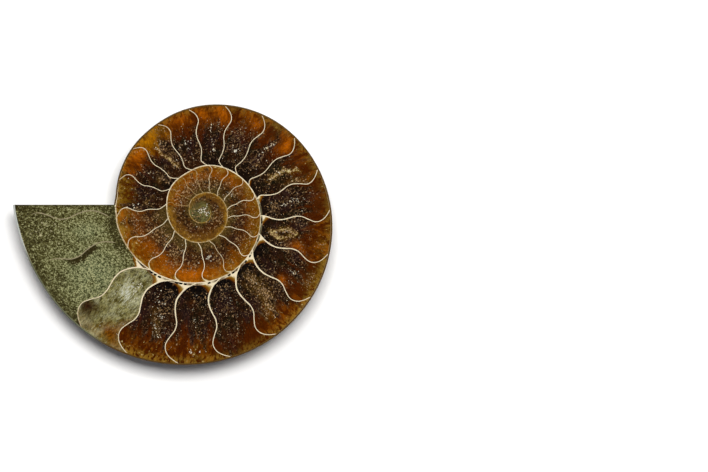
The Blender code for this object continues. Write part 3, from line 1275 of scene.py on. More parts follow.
CHAMBERS = (
    Chamber(AmberStone(rim=Tone.OLIVE_GOLD, foot=Tone.UMBER, blaze=0.15, gilt=0.7, seed=1.0), (
        Spot(GOLD, 0.5, 0.05, 0.5, 0.07, 0.45),
        Vein(FROST, ((0.05, 0.3), (0.35, 0.17), (0.62, 0.22), (0.95, 0.1)), 0.3, 0.5),
        Vein(GOLD, ((0.3, 0.47), (0.62, 0.62)), 0.5, 0.35),
    )),
    Chamber(AmberStone(rim_depth=0.22, blaze=0.6, gilt=0.5, seed=2.0), (
        Spot(AMBER, 0.75, 0.08, 0.3, 0.11, 0.9), Spot(GOLD, 0.85, 0.05, 0.2, 0.07, 0.5),
        Vein(FROST, ((0.55, 0.22), (0.6, 0.47)), 0.35, 0.5),
        Spot(FROST, 0.5, 0.5, 0.14, 0.05, 0.5), Spot(GOLD, 0.5, 0.65, 0.2, 0.06, 0.5),
    )),
    Chamber(AmberStone(foot=Tone.UMBER, rim_depth=0.25, glow=Tone.YELLOW_AMBER, blaze=0.65, seed=3.0), (
        Spot(AMBER, 0.25, 0.08, 0.25, 0.12, 0.8), Spot(GOLD, 0.8, 0.07, 0.2, 0.09, 0.6),
        Vein(GOLD, ((0.38, 0.18), (0.45, 0.35), (0.55, 0.5), (0.65, 0.72)), 0.7, 0.8),
        Spot(FROST, 0.4, 0.22, 0.1, 0.05, 0.8), Spot(FROST, 0.64, 0.68, 0.1, 0.05, 0.8),
    )),
    Chamber(AmberStone(foot=Tone.UMBER, rim_depth=0.22, blaze=0.3, seed=4.0), (
        Spot(AMBER, 0.45, 0.07, 0.3, 0.08, 0.45),
        Vein(FROST, ((0.42, 0.15), (0.5, 0.3), (0.5, 0.43), (0.55, 0.6), (0.6, 0.8)), 0.3, 0.6),
        Spot(FROST, 0.5, 0.43, 0.08, 0.03, 0.9),
    )),
    Chamber(AmberStone(rim_depth=0.22, blaze=0.5, gilt=0.2, seed=5.0), (
        Spot(AMBER, 0.2, 0.08, 0.16, 0.1, 0.6), Spot(AMBER, 0.8, 0.11, 0.16, 0.1, 0.7),
        Vein(FROST, ((0.45, 0.22), (0.5, 0.4), (0.55, 0.55), (0.6, 0.68)), 0.35, 0.8),
    ), Web(6.0, 0.84, 0.5)),
    Chamber(AmberStone(flecks=0.08, blaze=0.15, gilt=0.3, seed=6.0), (
        Spot(AMBER, 0.75, 0.1, 0.15, 0.09, 0.5), Spot(TAN, 0.5, 0.38, 0.4, 0.25, 0.35),
        Spot(FROST, 0.5, 0.55, 0.3, 0.15, 0.25),
    ), Web(7.0, 0.83, 0.55)),
    Chamber(AmberStone(rim=Tone.CHESTNUT, rim_depth=0.24, blaze=0.35, seed=7.0), (
        Spot(AMBER, 0.8, 0.13, 0.16, 0.1, 0.9), Spot(RUST, 0.85, 0.3, 0.25, 0.2, 0.8),
        Vein(FROST, ((0.55, 0.2), (0.46, 0.35), (0.5, 0.5)), 0.5, 0.6),
        Spot(TAN, 0.5, 0.6, 0.3, 0.08, 0.6),
    ), Web(8.0, 0.82, 0.62)),
    Chamber(AmberStone(rim=Tone.CHESTNUT, blaze=0.2, seed=8.0), (
        Vein(GOLD, ((0.55, 0.2), (0.47, 0.35), (0.4, 0.5), (0.36, 0.6)), 0.8, 1.0),
        Vein(FROST, ((0.55, 0.2), (0.47, 0.35), (0.4, 0.5), (0.36, 0.6)), 0.5, 0.6),
        Spot(GOLD, 0.92, 0.25, 0.15, 0.2, 0.4),
    ), Web(9.0, 0.80, 0.8)),
    Chamber(AmberStone(rim=Tone.CHESTNUT, blaze=0.15, seed=9.0), (
        Spot(RUST, 0.5, 0.08, 0.5, 0.12, 0.6),
        Vein(FROST, ((0.5, 0.24), (0.45, 0.4), (0.5, 0.56)), 0.6, 0.6),
        Spot(TAN, 0.5, 0.7, 0.3, 0.08, 0.6),
    ), Web(10.0, 0.78, 1.0)),
    Chamber(AmberStone(blaze=0.3, seed=10.0), (
        Spot(GOLD, 0.6, 0.08, 0.2, 0.06, 0.5), Spot(AMBER, 0.9, 0.35, 0.15, 0.1, 0.7),
        Vein(
            GOLD, ((0.55, 0.4), (0.38, 0.5), (0.4, 0.66), (0.58, 0.78), (0.68, 0.62), (0.6, 0.46)), 0.8, 0.9,
        ),
        Vein(FROST, ((0.55, 0.42), (0.42, 0.55), (0.5, 0.72)), 0.5, 0.6),
    ), Web(11.0, 0.77, 1.1)),
    Chamber(AmberStone(rim=Tone.CHESTNUT, foot=Tone.NEAR_BLACK, blaze=0.25, gilt=0.7, seed=11.0), (
        Spot(TAN, 0.5, 0.08, 0.3, 0.06, 0.7), Spot(GOLD, 0.45, 0.07, 0.25, 0.05, 0.5),
        Spot(FROST, 0.5, 0.3, 0.12, 0.05, 0.7), Spot(RUST, 0.85, 0.35, 0.2, 0.1, 1.0),
        Spot(AMBER, 0.92, 0.35, 0.1, 0.07, 0.6),
    ), Web(11.0, 0.77, 1.05)),
    Chamber(AmberStone(foot=Tone.NEAR_BLACK, rim_depth=0.16, blaze=0.1, gilt=0.7, seed=12.0), (
        Spot(AMBER, 0.5, 0.05, 0.5, 0.05, 0.1),
        Vein(GOLD, ((0.6, 0.2), (0.52, 0.4), (0.45, 0.7)), 2.0, 0.5),
        Vein(TAN, ((0.6, 0.2), (0.52, 0.4), (0.45, 0.7)), 1.6, 0.6),
    ), Web(10.5, 0.76, 1.1)),
    Chamber(AmberStone(
        rim=Tone.CHESTNUT, foot=Tone.NEAR_BLACK, rim_depth=0.13, blaze=0.1, gilt=0.5, seed=13.0,
    ), (
        Spot(RUST, 0.5, 0.12, 0.5, 0.1, 0.6),
        Vein(TAN, ((0.5, 0.1), (0.42, 0.2), (0.46, 0.36)), 0.3, 0.8),
        Spot(FROST, 0.35, 0.6, 0.15, 0.1, 0.5), Spot(TAN, 0.5, 0.8, 0.2, 0.06, 0.4),
    ), Web(12.0, 0.74, 1.1)),
    Chamber(AmberStone(foot=Tone.NEAR_BLACK, blaze=0.3, gilt=0.6, seed=14.0), (
        Vein(GOLD, ((0.5, 0.0), (0.46, 0.09), (0.34, 0.16)), 0.4, 0.8),
        Spot(FROST, 0.5, 0.1, 0.05, 0.03, 1.0), Vein(FROST, ((0.5, 0.3), (0.52, 0.7)), 0.3, 0.5),
        Spot(AMBER, 0.5, 0.68, 0.08, 0.04, 0.12),
    ), Web(12.0, 0.74, 1.0)),
    Chamber(AmberStone(foot=Tone.NEAR_BLACK, rim_depth=0.17, blaze=0.0, gilt=0.7, seed=15.0), (
        Vein(FROST, ((0.3, 0.25), (0.6, 0.5)), 1.5, 0.35), Vein(GOLD, ((0.3, 0.25), (0.6, 0.5)), 1.2, 0.3),
        Spot(FROST, 0.45, 0.45, 0.06, 0.03, 1.0), Spot(FROST, 0.5, 0.62, 0.06, 0.03, 1.0),
        Vein(FROST, ((0.6, 0.6), (0.66, 0.8)), 0.3, 0.5),
    ), Web(12.0, 0.74, 1.1)),
    Chamber(ClearCalcite(), (
        Spot(AMBER, 0.2, 0.08, 0.2, 0.09, 1.0), Spot(AMBER, 0.05, 0.2, 0.1, 0.12, 0.6),
        Spot(RUST, 0.88, 0.17, 0.22, 0.09, 1.0), Spot(GOLD, 0.5, 0.04, 0.6, 0.05, 0.7),
        Spot(FROST, 0.46, 0.55, 0.24, 0.13, 0.85), Spot(TAN, 0.6, 0.82, 0.5, 0.12, 0.9),
    ), Web(11.0, 0.76, 1.1)),
)


# ---------------------------------------------------------------- sub-assemblies


@dataclass
class Chambers:
    """The fillings of the last whorl's chambers."""

    DRAWN_OUT = 0.6  # how far the stone's pattern is drawn out along the radius

    rows: int = 96
    columns: int = 40

    def dress(self, number: int) -> Material:
        """The stone of one chamber."""
        return CHAMBERS[number].stone.material(f"chamber_stone_{number + 1:02d}")

    def build(self) -> None:
        """Builds every chamber between two septa."""
        for number, chamber in enumerate(CHAMBERS):
            first, last = (Septum(contact) for contact in OUTER_CONTACTS[number : number + 2])
            name = f"chamber_{number + 1:02d}" if number + 1 < len(CHAMBERS) else "calcite_chamber"
            self.build_one(name, first, last, chamber, self.dress(number))

    def build_one(
        self, name: str, first: Septum, last: Septum, chamber: Chamber, material: Material
    ) -> Piece:
        """Builds one filling as a closed slab.

        Args:
            name: Name of the piece.
            first: The earlier septum.
            last: The later one.
            chamber: What fills it.
            material: Its finish.

        Returns:
            The new piece.
        """

        def angle(across: Array, inward: Array) -> Array:
            return first.angle(inward) + (last.angle(inward) - first.angle(inward)) * across

        def place(across: Array, inward: Array) -> Array:
            return SPIRAL.place(angle(across, inward), inward)

        inward, across = unit_grid(self.rows, self.columns)
        plan, degrees = place(across, inward), angle(across, inward)
        middle = float(degrees.mean())
        radius = np.linalg.norm(plan - SPIRAL.pole, axis=-1) * PER_METRE
        around = np.radians(degrees - middle) * radius
        return build_slab(
            name,
            material,
            plan,
            inward=inward,
            fibre=np.stack((around, radius * self.DRAWN_OUT, np.full_like(radius, middle)), -1),
            web=chamber.web.cover(first, degrees, inward, middle - 6),
            **paint(chamber.marks, across, inward, plan, place),
        )


@dataclass
class LivingChamber:
    """The sediment that fills the last chamber, up to the saw line.

    Its patches are given as hills: height, degrees and reach, inward and reach.
    """

    PALE = ((1.0, 330, 13, 0.45, 0.32), (0.8, 350, 5, 0.58, 0.2))
    GRAINS = ((1.0, 354, 5, 0.2, 0.16), (0.8, 332, 6, 0.87, 0.1))
    BROWN = ((0.7, 335, 2.5, 0.14, 0.05),)
    WEB = Web(8.0, 0.84, 1.1)

    rows: int = 80
    columns: int = 90

    def build(self) -> Piece:
        """Builds the filling as a closed slab."""
        first, last = Septum(OUTER_CONTACTS[-1]), SawnEdge()
        inward, across = unit_grid(self.rows, self.columns)
        start, end = first.angle(inward), last.angle(inward)
        degrees = start + (end - start) * across
        plan = SPIRAL.place(degrees, inward)
        return build_slab(
            "living_chamber",
            SettledSilt().material("settled_silt"),
            plan,
            inward=inward,
            pale=hills(self.PALE, degrees, inward),
            grains=hills(self.GRAINS, degrees, inward),
            brown=self.brown(degrees, inward, plan),
            web=self.WEB.cover(first, degrees, inward, 318.0),
        )

    def brown(self, degrees: Array, inward: Array, plan: Array) -> Array:
        """How brown the sediment is: along the rim, the saw line and the inner wall, and in a few stains."""
        below = (SPIRAL.pole[1] + TRIM - plan[..., 1]) * PER_METRE  # how far it lies from the saw line
        return np.max((
            0.75 * smooth_step(0.14, 0.0, inward) + 0.45 * smooth_step(2.2, 0.8, below),
            0.5 * smooth_step(338, 352, degrees) * smooth_step(0.48, 0.15, inward),
            hills(self.BROWN, degrees, inward),
            0.75 * smooth_step(0.78, 0.92, inward) * smooth_step(325, 338, degrees),
            1.7 * self.stain(degrees, inward),
        ), 0)

    @staticmethod
    def stain(degrees: Array, inward: Array) -> Array:
        """The dark brown band below the faint septum."""
        gap = Septum(FaintSepta.CONTACTS[0]).angle(inward) - degrees
        band = smooth_step(-0.2, 0.4, gap) * smooth_step(3.4, 1.8, gap)
        return band * smooth_step(0.25, 0.34, inward) * smooth_step(0.68, 0.55, inward)


@dataclass
class FaintSepta:
    """Two last septa that show as thin tan lines in the sediment."""

    CONTACTS = (336.0, 353.0)
    ENDS = ((0.08, 0.90), (0.07, 0.92))  # how far inward each line starts and ends

    steps: int = 80

    def build(self) -> Piece:
        """Builds both lines."""
        mesh = Mesh()
        for contact, (start, end) in zip(self.CONTACTS, self.ENDS):
            inward = np.linspace(start, end, self.steps)
            line = SPIRAL.place(Septum(contact).angle(inward), inward)
            fade = smooth_step(0, 0.12, (inward - start)) * smooth_step(0, 0.08, (end - inward))
            add_bar(mesh, line, (0.14 + 0.16 * fade) * MM, faint=1 - 0.95 * fade, pit=0, cold=0)
        stone = WallCalcite(tone=Tone.SHELL_GREY, stained=Tone.SILT, stain=0.15, seed=6.0)
        return mesh.object("faint_septa", [stone.material("faint_septum_calcite")])


@dataclass
class Septa:
    """The thin pale walls between the chambers."""

    STAINS = (  # how stained a septum is, by where it meets the outer wall
        (-350, 0.9), (-285, 0.8), (-263, 0.5), (-242, 0.4), (-220, 0.45), (-198, 0.2), (-178, 0.3),
        (-157, 0.3), (-136, 0.1), (-115, 0.5), (-94, -0.2), (-71, -0.2), (-48, 0.1), (-4, 0.2), (20, 0.25),
        (62, 0.25), (82, 0.1), (121, 0.15), (141, 0.1), (160, -0.1), (260, -0.1), (298, 0.0), (316, 0.3),
    )

    width: float = 0.21 * MM
    inner_width: float = 0.19 * MM
    steps: int = 110

    def build(self) -> None:
        """Builds the septa of the last whorl and those of the whorl inside it."""
        outer = WallCalcite(stain=0.05).material("septum_calcite")
        inner = WallCalcite(stained=Tone.GOLD, stain=0.1, seed=2.0).material("inner_septum_calcite")
        self.build_set("septa", OUTER_CONTACTS, self.width, outer)
        self.build_set("inner_septa", INNER_CONTACTS, self.inner_width, inner)

    def build_set(self, name: str, contacts: Sequence[float], width: float, material: Material) -> None:
        """Builds a set of septa as one piece."""
        mesh = Mesh()
        inward = np.linspace(0.0, 1.0, self.steps)
        for contact in contacts:
            line = SPIRAL.place(Septum(contact).angle(inward), inward)
            swell = 1 + smooth_step(130, 230, contact) * smooth_step(0.05, 0.8, inward)
            uneven = 1 + 0.13 * ripple(inward * 30, contact)
            faint = np.interp(contact, *zip(*self.STAINS))
            fade = faint + 0.45 * smooth_step(0.14, 0.0, inward) * smooth_step(-30, 0, contact)
            add_bar(mesh, line, width * swell * uneven * (1 - 0.3 * faint), faint=fade, pit=0, cold=0)
        mesh.object(name, [material])


@dataclass
class SpiralWall:
    """The wall that winds from the rim to the middle, and its second layer under the last whorl."""

    STAINS = (  # how stained the wall is, by degrees
        (-905, 0.8), (-720, 0.7), (-430, 0.6), (-370, 0.4), (-345, 0.2), (-250, 0.25), (-235, 0.0),
        (-205, 0.0), (-192, 0.4), (-150, 0.35), (-135, 0.0), (-110, 0.35), (-92, -0.1), (-50, -0.1),
        (-32, 0.55), (-12, 0.45), (3, 0.3),
    )
    WIDTHS = (  # in millimetres, by degrees
        (-905, 0.20), (-720, 0.25), (-360, 0.29), (-60, 0.34), (0, 0.38), (30, 0.30), (60, 0.22),
        (150, 0.22), (175, 0.3), (340, 0.22), (352, 0.36),
    )
    MOSS = (  # how much of the rim's gold has gone, by degrees
        (60, 0.9), (90, 0.35), (148, 0.35), (162, 0.1), (228, 0.2), (244, 0.8), (315, 0.8), (330, 0.3),
        (346, 0.0),
    )
    PORES = (
        167.5, 188, 190.5, 208, 224, 230, 244, 248, 265.4, 284, 287.5, 290.4, 303.8, 307.3, 310.4, 319.3, 322,
    )

    step: float = 0.75  # degrees between points
    fine_step: float = 0.2  # the same in the second layer
    layer_columns: int = 14
    inner_end: float = -905.0
    rim_start: float = 3.0

    def width(self, degrees: Array) -> Array:
        """Width of the wall at each angle."""
        return MM * np.interp(degrees, *zip(*self.WIDTHS))

    def middle(self, degrees: Array) -> Array:
        """Plan position of the middle of the wall's top."""
        inset = SPIRAL.outside(degrees) * (CHAMFER + 0.5 * self.width(degrees))
        return SPIRAL.polar(degrees, SPIRAL.wall(degrees) - inset)

    def build(self) -> None:
        """Builds the rim line, the wall inside and the pitted second layer."""
        self.build_rim()
        self.build_inner()
        self.build_second_layer()

    def build_rim(self) -> Piece:
        """Builds the shell's edge along the rim."""
        end = 360 + math.degrees(math.asin(TRIM / RIM_RADIUS))
        degrees = np.arange(self.rim_start, end, 0.5 * self.step)
        # painted highlight, where the bevel by the sawn tip would catch the light
        nacre = smooth_step(347, 354, degrees) * (0.65 + 0.25 * ripple(degrees * 0.8, 2.0))
        faint = smooth_step(34, 46, degrees) * np.clip(0.75 + 0.7 * ripple(degrees * 0.32, 5.0), 0, 1)
        pale = smooth_step(148, 162, degrees) * smooth_step(246, 228, degrees)
        pale = pale + 0.45 * smooth_step(304, 314, degrees)
        mesh = Mesh()
        add_bar(
            mesh,
            self.middle(degrees),
            self.width(degrees),
            wall=smooth_step(20, 6, degrees),
            nacre=np.clip(nacre, 0, 1),
            faint=faint * np.interp(degrees, *zip(*self.MOSS)),
            pale=pale * (0.75 + 0.25 * ripple(degrees * 0.7, 6.0)),
        )
        return mesh.object("shell_rim", [ShellEdge().material("shell_edge")])

    def build_inner(self) -> Piece:
        """Builds the wall inside the last whorl."""
        degrees = np.arange(self.inner_end, 3.1, self.step)
        uneven = 1 + 0.16 * ripple(np.radians(degrees) * 14, 3.0)
        faint = np.interp(degrees, *zip(*self.STAINS))
        mesh = Mesh()
        add_bar(mesh, self.middle(degrees), self.width(degrees) * uneven, faint=faint, pit=0, cold=0)
        stone = WallCalcite(stained=Tone.GOLD, seed=3.0)
        return mesh.object("spiral_wall", [stone.material("wall_calcite")])

    @staticmethod
    def second_inward(degrees: Array) -> Array:
        """How far inward the second layer's outer edge lies."""
        return 1 - 0.044 * smooth_step(150, 176, degrees) * smooth_step(332, 314, degrees)

    def build_second_layer(self) -> Piece:
        """Builds the layer laid on the inner wall, with its row of pores."""
        degrees = np.arange(150, 332, self.fine_step)
        angle, across = np.meshgrid(degrees, np.linspace(0, 1, self.layer_columns), indexing="ij")
        radians = np.radians(angle)
        pit = np.zeros_like(angle)
        for number, pore in enumerate(self.PORES):
            reach = 1.1 + 0.5 * abs(math.sin(number * 2.4))
            tilt = 0.08 * math.sin(number * 1.7)
            away = ((angle - pore) / reach) ** 2 + ((across - 0.58 - tilt) / 0.46) ** 2
            pit = np.maximum(pit, np.exp(-(away**2)))
        band = smooth_step(0.12, 0.30, across) * smooth_step(0.95, 0.72, across)
        feet = np.array([Septum(contact).angle(np.array(0.9)) + 4.5 for contact in OUTER_CONTACTS])
        near = np.exp(-((np.abs(angle[..., None] - feet).min(-1) / 5.0) ** 2))
        small = ripple(radians * 95, 1.0, 2) * ripple(across * 9 + radians * 33, 4.0, 2)
        gap = band * (0.9 - 0.8 * near + 0.9 * smooth_step(0.10, 0.3, small))
        pit = np.maximum(pit, 0.30 * np.clip(gap, 0, 1))
        right = smooth_step(160, 172, angle) * smooth_step(222, 205, angle)
        cold = right * band * (0.75 + 0.4 * ripple(radians * 40, 2.0))
        return build_slab(
            "second_wall_layer",
            WallCalcite(stained=Tone.DIM_TAN, seed=4.0).material("second_layer_calcite"),
            SPIRAL.place(angle, 1 - across * (1 - self.second_inward(angle))),
            FACE - WALL_STAND * (0.25 + 0.5 * pit),
            faint=(1 - near) * (0.8 + 0.4 * ripple(radians * 8, 2.0)) + 0.3 * right,
            pit=smooth_step(0.1, 0.6, pit),
            cold=np.clip(cold, 0, 1),
        )


@dataclass
class InnerWhorls:
    """The fillings of the whorls inside the last one."""

    MARKS = (
        Spot(AMBER, -78, 0.13, 26, 0.15, 0.9), Spot(RUST, -80, 0.36, 30, 0.12, 0.4),
        Spot(RUST, -160, 0.3, 35, 0.2, 0.5), Spot(AMBER, -290, 0.28, 95, 0.12, 0.45),
        Spot(AMBER, -32, 0.3, 26, 0.12, 0.4), Spot(GOLD, -295, 0.34, 75, 0.2, 0.3),
        Spot(GOLD, -150, 0.95, 45, 0.08, 0.5), Spot(FROST, -97, 0.5, 3, 0.05, 1.0),
        Spot(FROST, -332, 0.6, 6, 0.1, 0.45), Spot(FROST, -62, 0.62, 4, 0.06, 0.5),
        Spot(TAN, -300, 0.6, 60, 0.3, 0.4), Spot(TAN, -40, 0.55, 50, 0.3, 0.25),
        Spot(GOLD, -158, 0.12, 48, 0.12, 0.55), Spot(RUST, -160, 0.06, 42, 0.12, 0.3),
        Spot(AMBER, -325, 0.55, 40, 0.3, 0.15),
    )
    THIRD_MARKS = (
        Spot(AMBER, -718, 0.5, 40, 0.6, 0.9), Spot(AMBER, -655, 0.8, 45, 0.3, 0.6),
        Spot(GOLD, -720, 0.1, 40, 0.1, 0.4), Spot(RUST, -470, 0.42, 28, 0.16, 0.45),
        Spot(RUST, -420, 0.40, 14, 0.14, 0.4), Spot(TAN, -480, 0.62, 40, 0.2, 0.4),
    )
    CORNERS = (  # how strong the pale corners are, by degrees
        (-362, 0.0), (-350, 0.25), (-250, 0.3), (-130, 0.3), (-110, 0.55), (-60, 0.6), (-30, 0.3),
    )

    steps_per_turn: int = 360
    rows: int = 30
    middle_rows: int = 14
    middle_columns: int = 181

    def build(self) -> None:
        """Builds the second whorl, the third and the middle."""
        second = AmberStone(
            rim=Tone.HONEY, ember=Tone.AMBER, heart=Tone.HAZEL, foot=Tone.OLIVE_BROWN, blaze=0.4, gilt=0.85,
            gloom=0.7, speck=Tone.TAN, seed=21.0,
        )
        third = AmberStone(
            rim=Tone.HONEY, ember=Tone.BRONZE, heart=Tone.HAZEL, foot=Tone.OLIVE_BROWN, rim_depth=0.22,
            glow=Tone.SILT, blaze=0.0, gilt=0.8, gloom=0.5, flecks=0.04, speck=Tone.TAN, seed=22.0,
        )
        middle = AmberStone(
            rim=Tone.OLIVE_BROWN, ember=Tone.SILT, heart=Tone.SILT, foot=Tone.SILT, rim_depth=0.18,
            glow=Tone.HONEY, blaze=0.2, gilt=0.3, gloom=0.6, flecks=0.1, speck=Tone.TAN, seed=23.0,
        )
        self.build_whorl("second_whorl", -356, -4, second.material("second_whorl_stone"), self.MARKS)
        self.build_whorl("third_whorl", -718, -355, third.material("third_whorl_stone"), self.THIRD_MARKS)
        self.build_middle(middle.material("middle_stone"))

    def build_whorl(
        self, name: str, start: float, end: float, material: Material, marks: Sequence[Mark]
    ) -> Piece:
        """Builds one whorl's filling as a closed slab between two septa."""
        first, last = Septum(start), Septum(end)
        inward, share = unit_grid(self.rows, int(self.steps_per_turn * (end - start) / 360))
        degrees = first.angle(inward) + (last.angle(inward) - first.angle(inward)) * share
        plan = SPIRAL.place(degrees, inward)
        radius = SPIRAL.radius(degrees, inward) * PER_METRE
        around = np.radians(degrees) * radius.mean() * 1.2
        return build_slab(
            name,
            material,
            plan,
            inward=inward,
            fibre=np.stack((around, radius, np.full_like(radius, start)), -1),
            web=self.corners(degrees, inward),
            **paint(marks, degrees, inward, plan, SPIRAL.place),
        )

    def corners(self, degrees: Array, inward: Array) -> Array:
        """The small pale corners where the septa meet the outer wall."""
        away = np.stack([np.abs(degrees - Septum(contact).angle(inward)) for contact in INNER_CONTACTS], -1)
        corner = 1.25 * hill((away.min(-1), 0, 2.6), (inward, 0, 0.07))
        return np.interp(degrees, *zip(*self.CORNERS)) * np.clip(corner, 0, 1)

    def build_middle(self, material: Material) -> Piece:
        """Builds the filling of the first whorls, round the pole."""
        inward, angle = np.meshgrid(
            np.linspace(0, 1, self.middle_rows), np.linspace(-1078, -718, self.middle_columns), indexing="ij"
        )
        foot = Septum(-718).angle(inward[:, 0]) + 718
        angle = angle + foot[:, None] * (1 - inward)
        plan = SPIRAL.polar(angle, SPIRAL.face_wall(angle) * (1 - 0.97 * inward))
        fibre = np.concatenate((plan * PER_METRE, np.full((*inward.shape, 1), 7.0)), -1)
        frost = 0.75 * smooth_step(0.74, 0.94, inward)
        return build_slab(
            "first_whorls", material, plan,
            inward=inward, fibre=fibre, web=0, amber=0, gold=0, rust=0, tan=0, frost=frost,
        )


@dataclass
class Crystals:
    """Small white crystals that stand out in a few chambers."""

    CLUSTERS = (  # degrees, inward, size in millimetres, count, spread in millimetres
        (117.5, 0.59, 0.55, 3, 0.3), (-97, 0.5, 0.35, 5, 0.45), (312, 0.58, 0.3, 16, 1.7),
        (309.5, 0.66, 0.26, 8, 1.2), (79.5, 0.43, 0.3, 3, 0.3), (271.5, 0.1, 0.32, 2, 0.15),
        (291, 0.45, 0.3, 3, 0.35), (293, 0.62, 0.28, 3, 0.3),
    )

    seed: int = 11
    middle_count: int = 26
    middle_spread: float = 0.85 * MM
    middle_size: float = 0.28 * MM
    middle_stretch: float = 1.6
    stretch: float = 2.2
    root: float = 0.3 * MM  # how far below the cut face a crystal starts
    tip: float = 0.3  # size of its flat top as a share of its own
    crease: float = 20  # degrees from which an edge is sharp

    def build(self) -> Piece:
        """Builds all of them as one piece."""
        random = np.random.default_rng(self.seed)
        mesh = Mesh()
        for _ in range(self.middle_count):
            centre = SPIRAL.pole + random.normal(0, self.middle_spread, 2)
            self.shard(mesh, random, centre, self.middle_size, self.middle_stretch)
        for degrees, inward, size, count, spread in self.CLUSTERS:
            middle = SPIRAL.place(np.array(degrees), np.array(inward))
            for _ in range(count):
                centre = middle + random.normal(0, spread * MM, 2)
                self.shard(mesh, random, centre, size * MM, self.stretch)
        return mesh.object("white_crystals", [WhiteCrystal().material("white_crystal")], self.crease)

    def shard(
        self, mesh: Mesh, random: np.random.Generator, centre: Array, size: float, stretch: float
    ) -> None:
        """Adds one low faceted crystal.

        Args:
            mesh: Where it goes.
            random: The source of its shape.
            centre: Its place in plan.
            size: Its radius.
            stretch: How much longer than wide it may be.
        """
        corners = int(random.integers(4, 7))
        turn = random.uniform(0, TURN)
        long = size * random.uniform(0.6, 1.0)
        slim = long / random.uniform(1.2, stretch)
        angles = np.linspace(0, TURN, corners, endpoint=False) + random.uniform(-0.3, 0.3, corners)
        spin = np.array(((math.cos(turn), math.sin(turn)), (-math.sin(turn), math.cos(turn))))
        local = np.stack((long * np.cos(angles), slim * np.sin(angles)), 1) @ spin
        rings = [
            np.concatenate((centre + share * local, np.full((corners, 1), height)), 1)
            for share, height in ((1, FACE - self.root), (1, WALL_SHOULDER), (self.tip, FACE))
        ]
        mesh.add(np.concatenate(rings), prism(len(rings), corners))


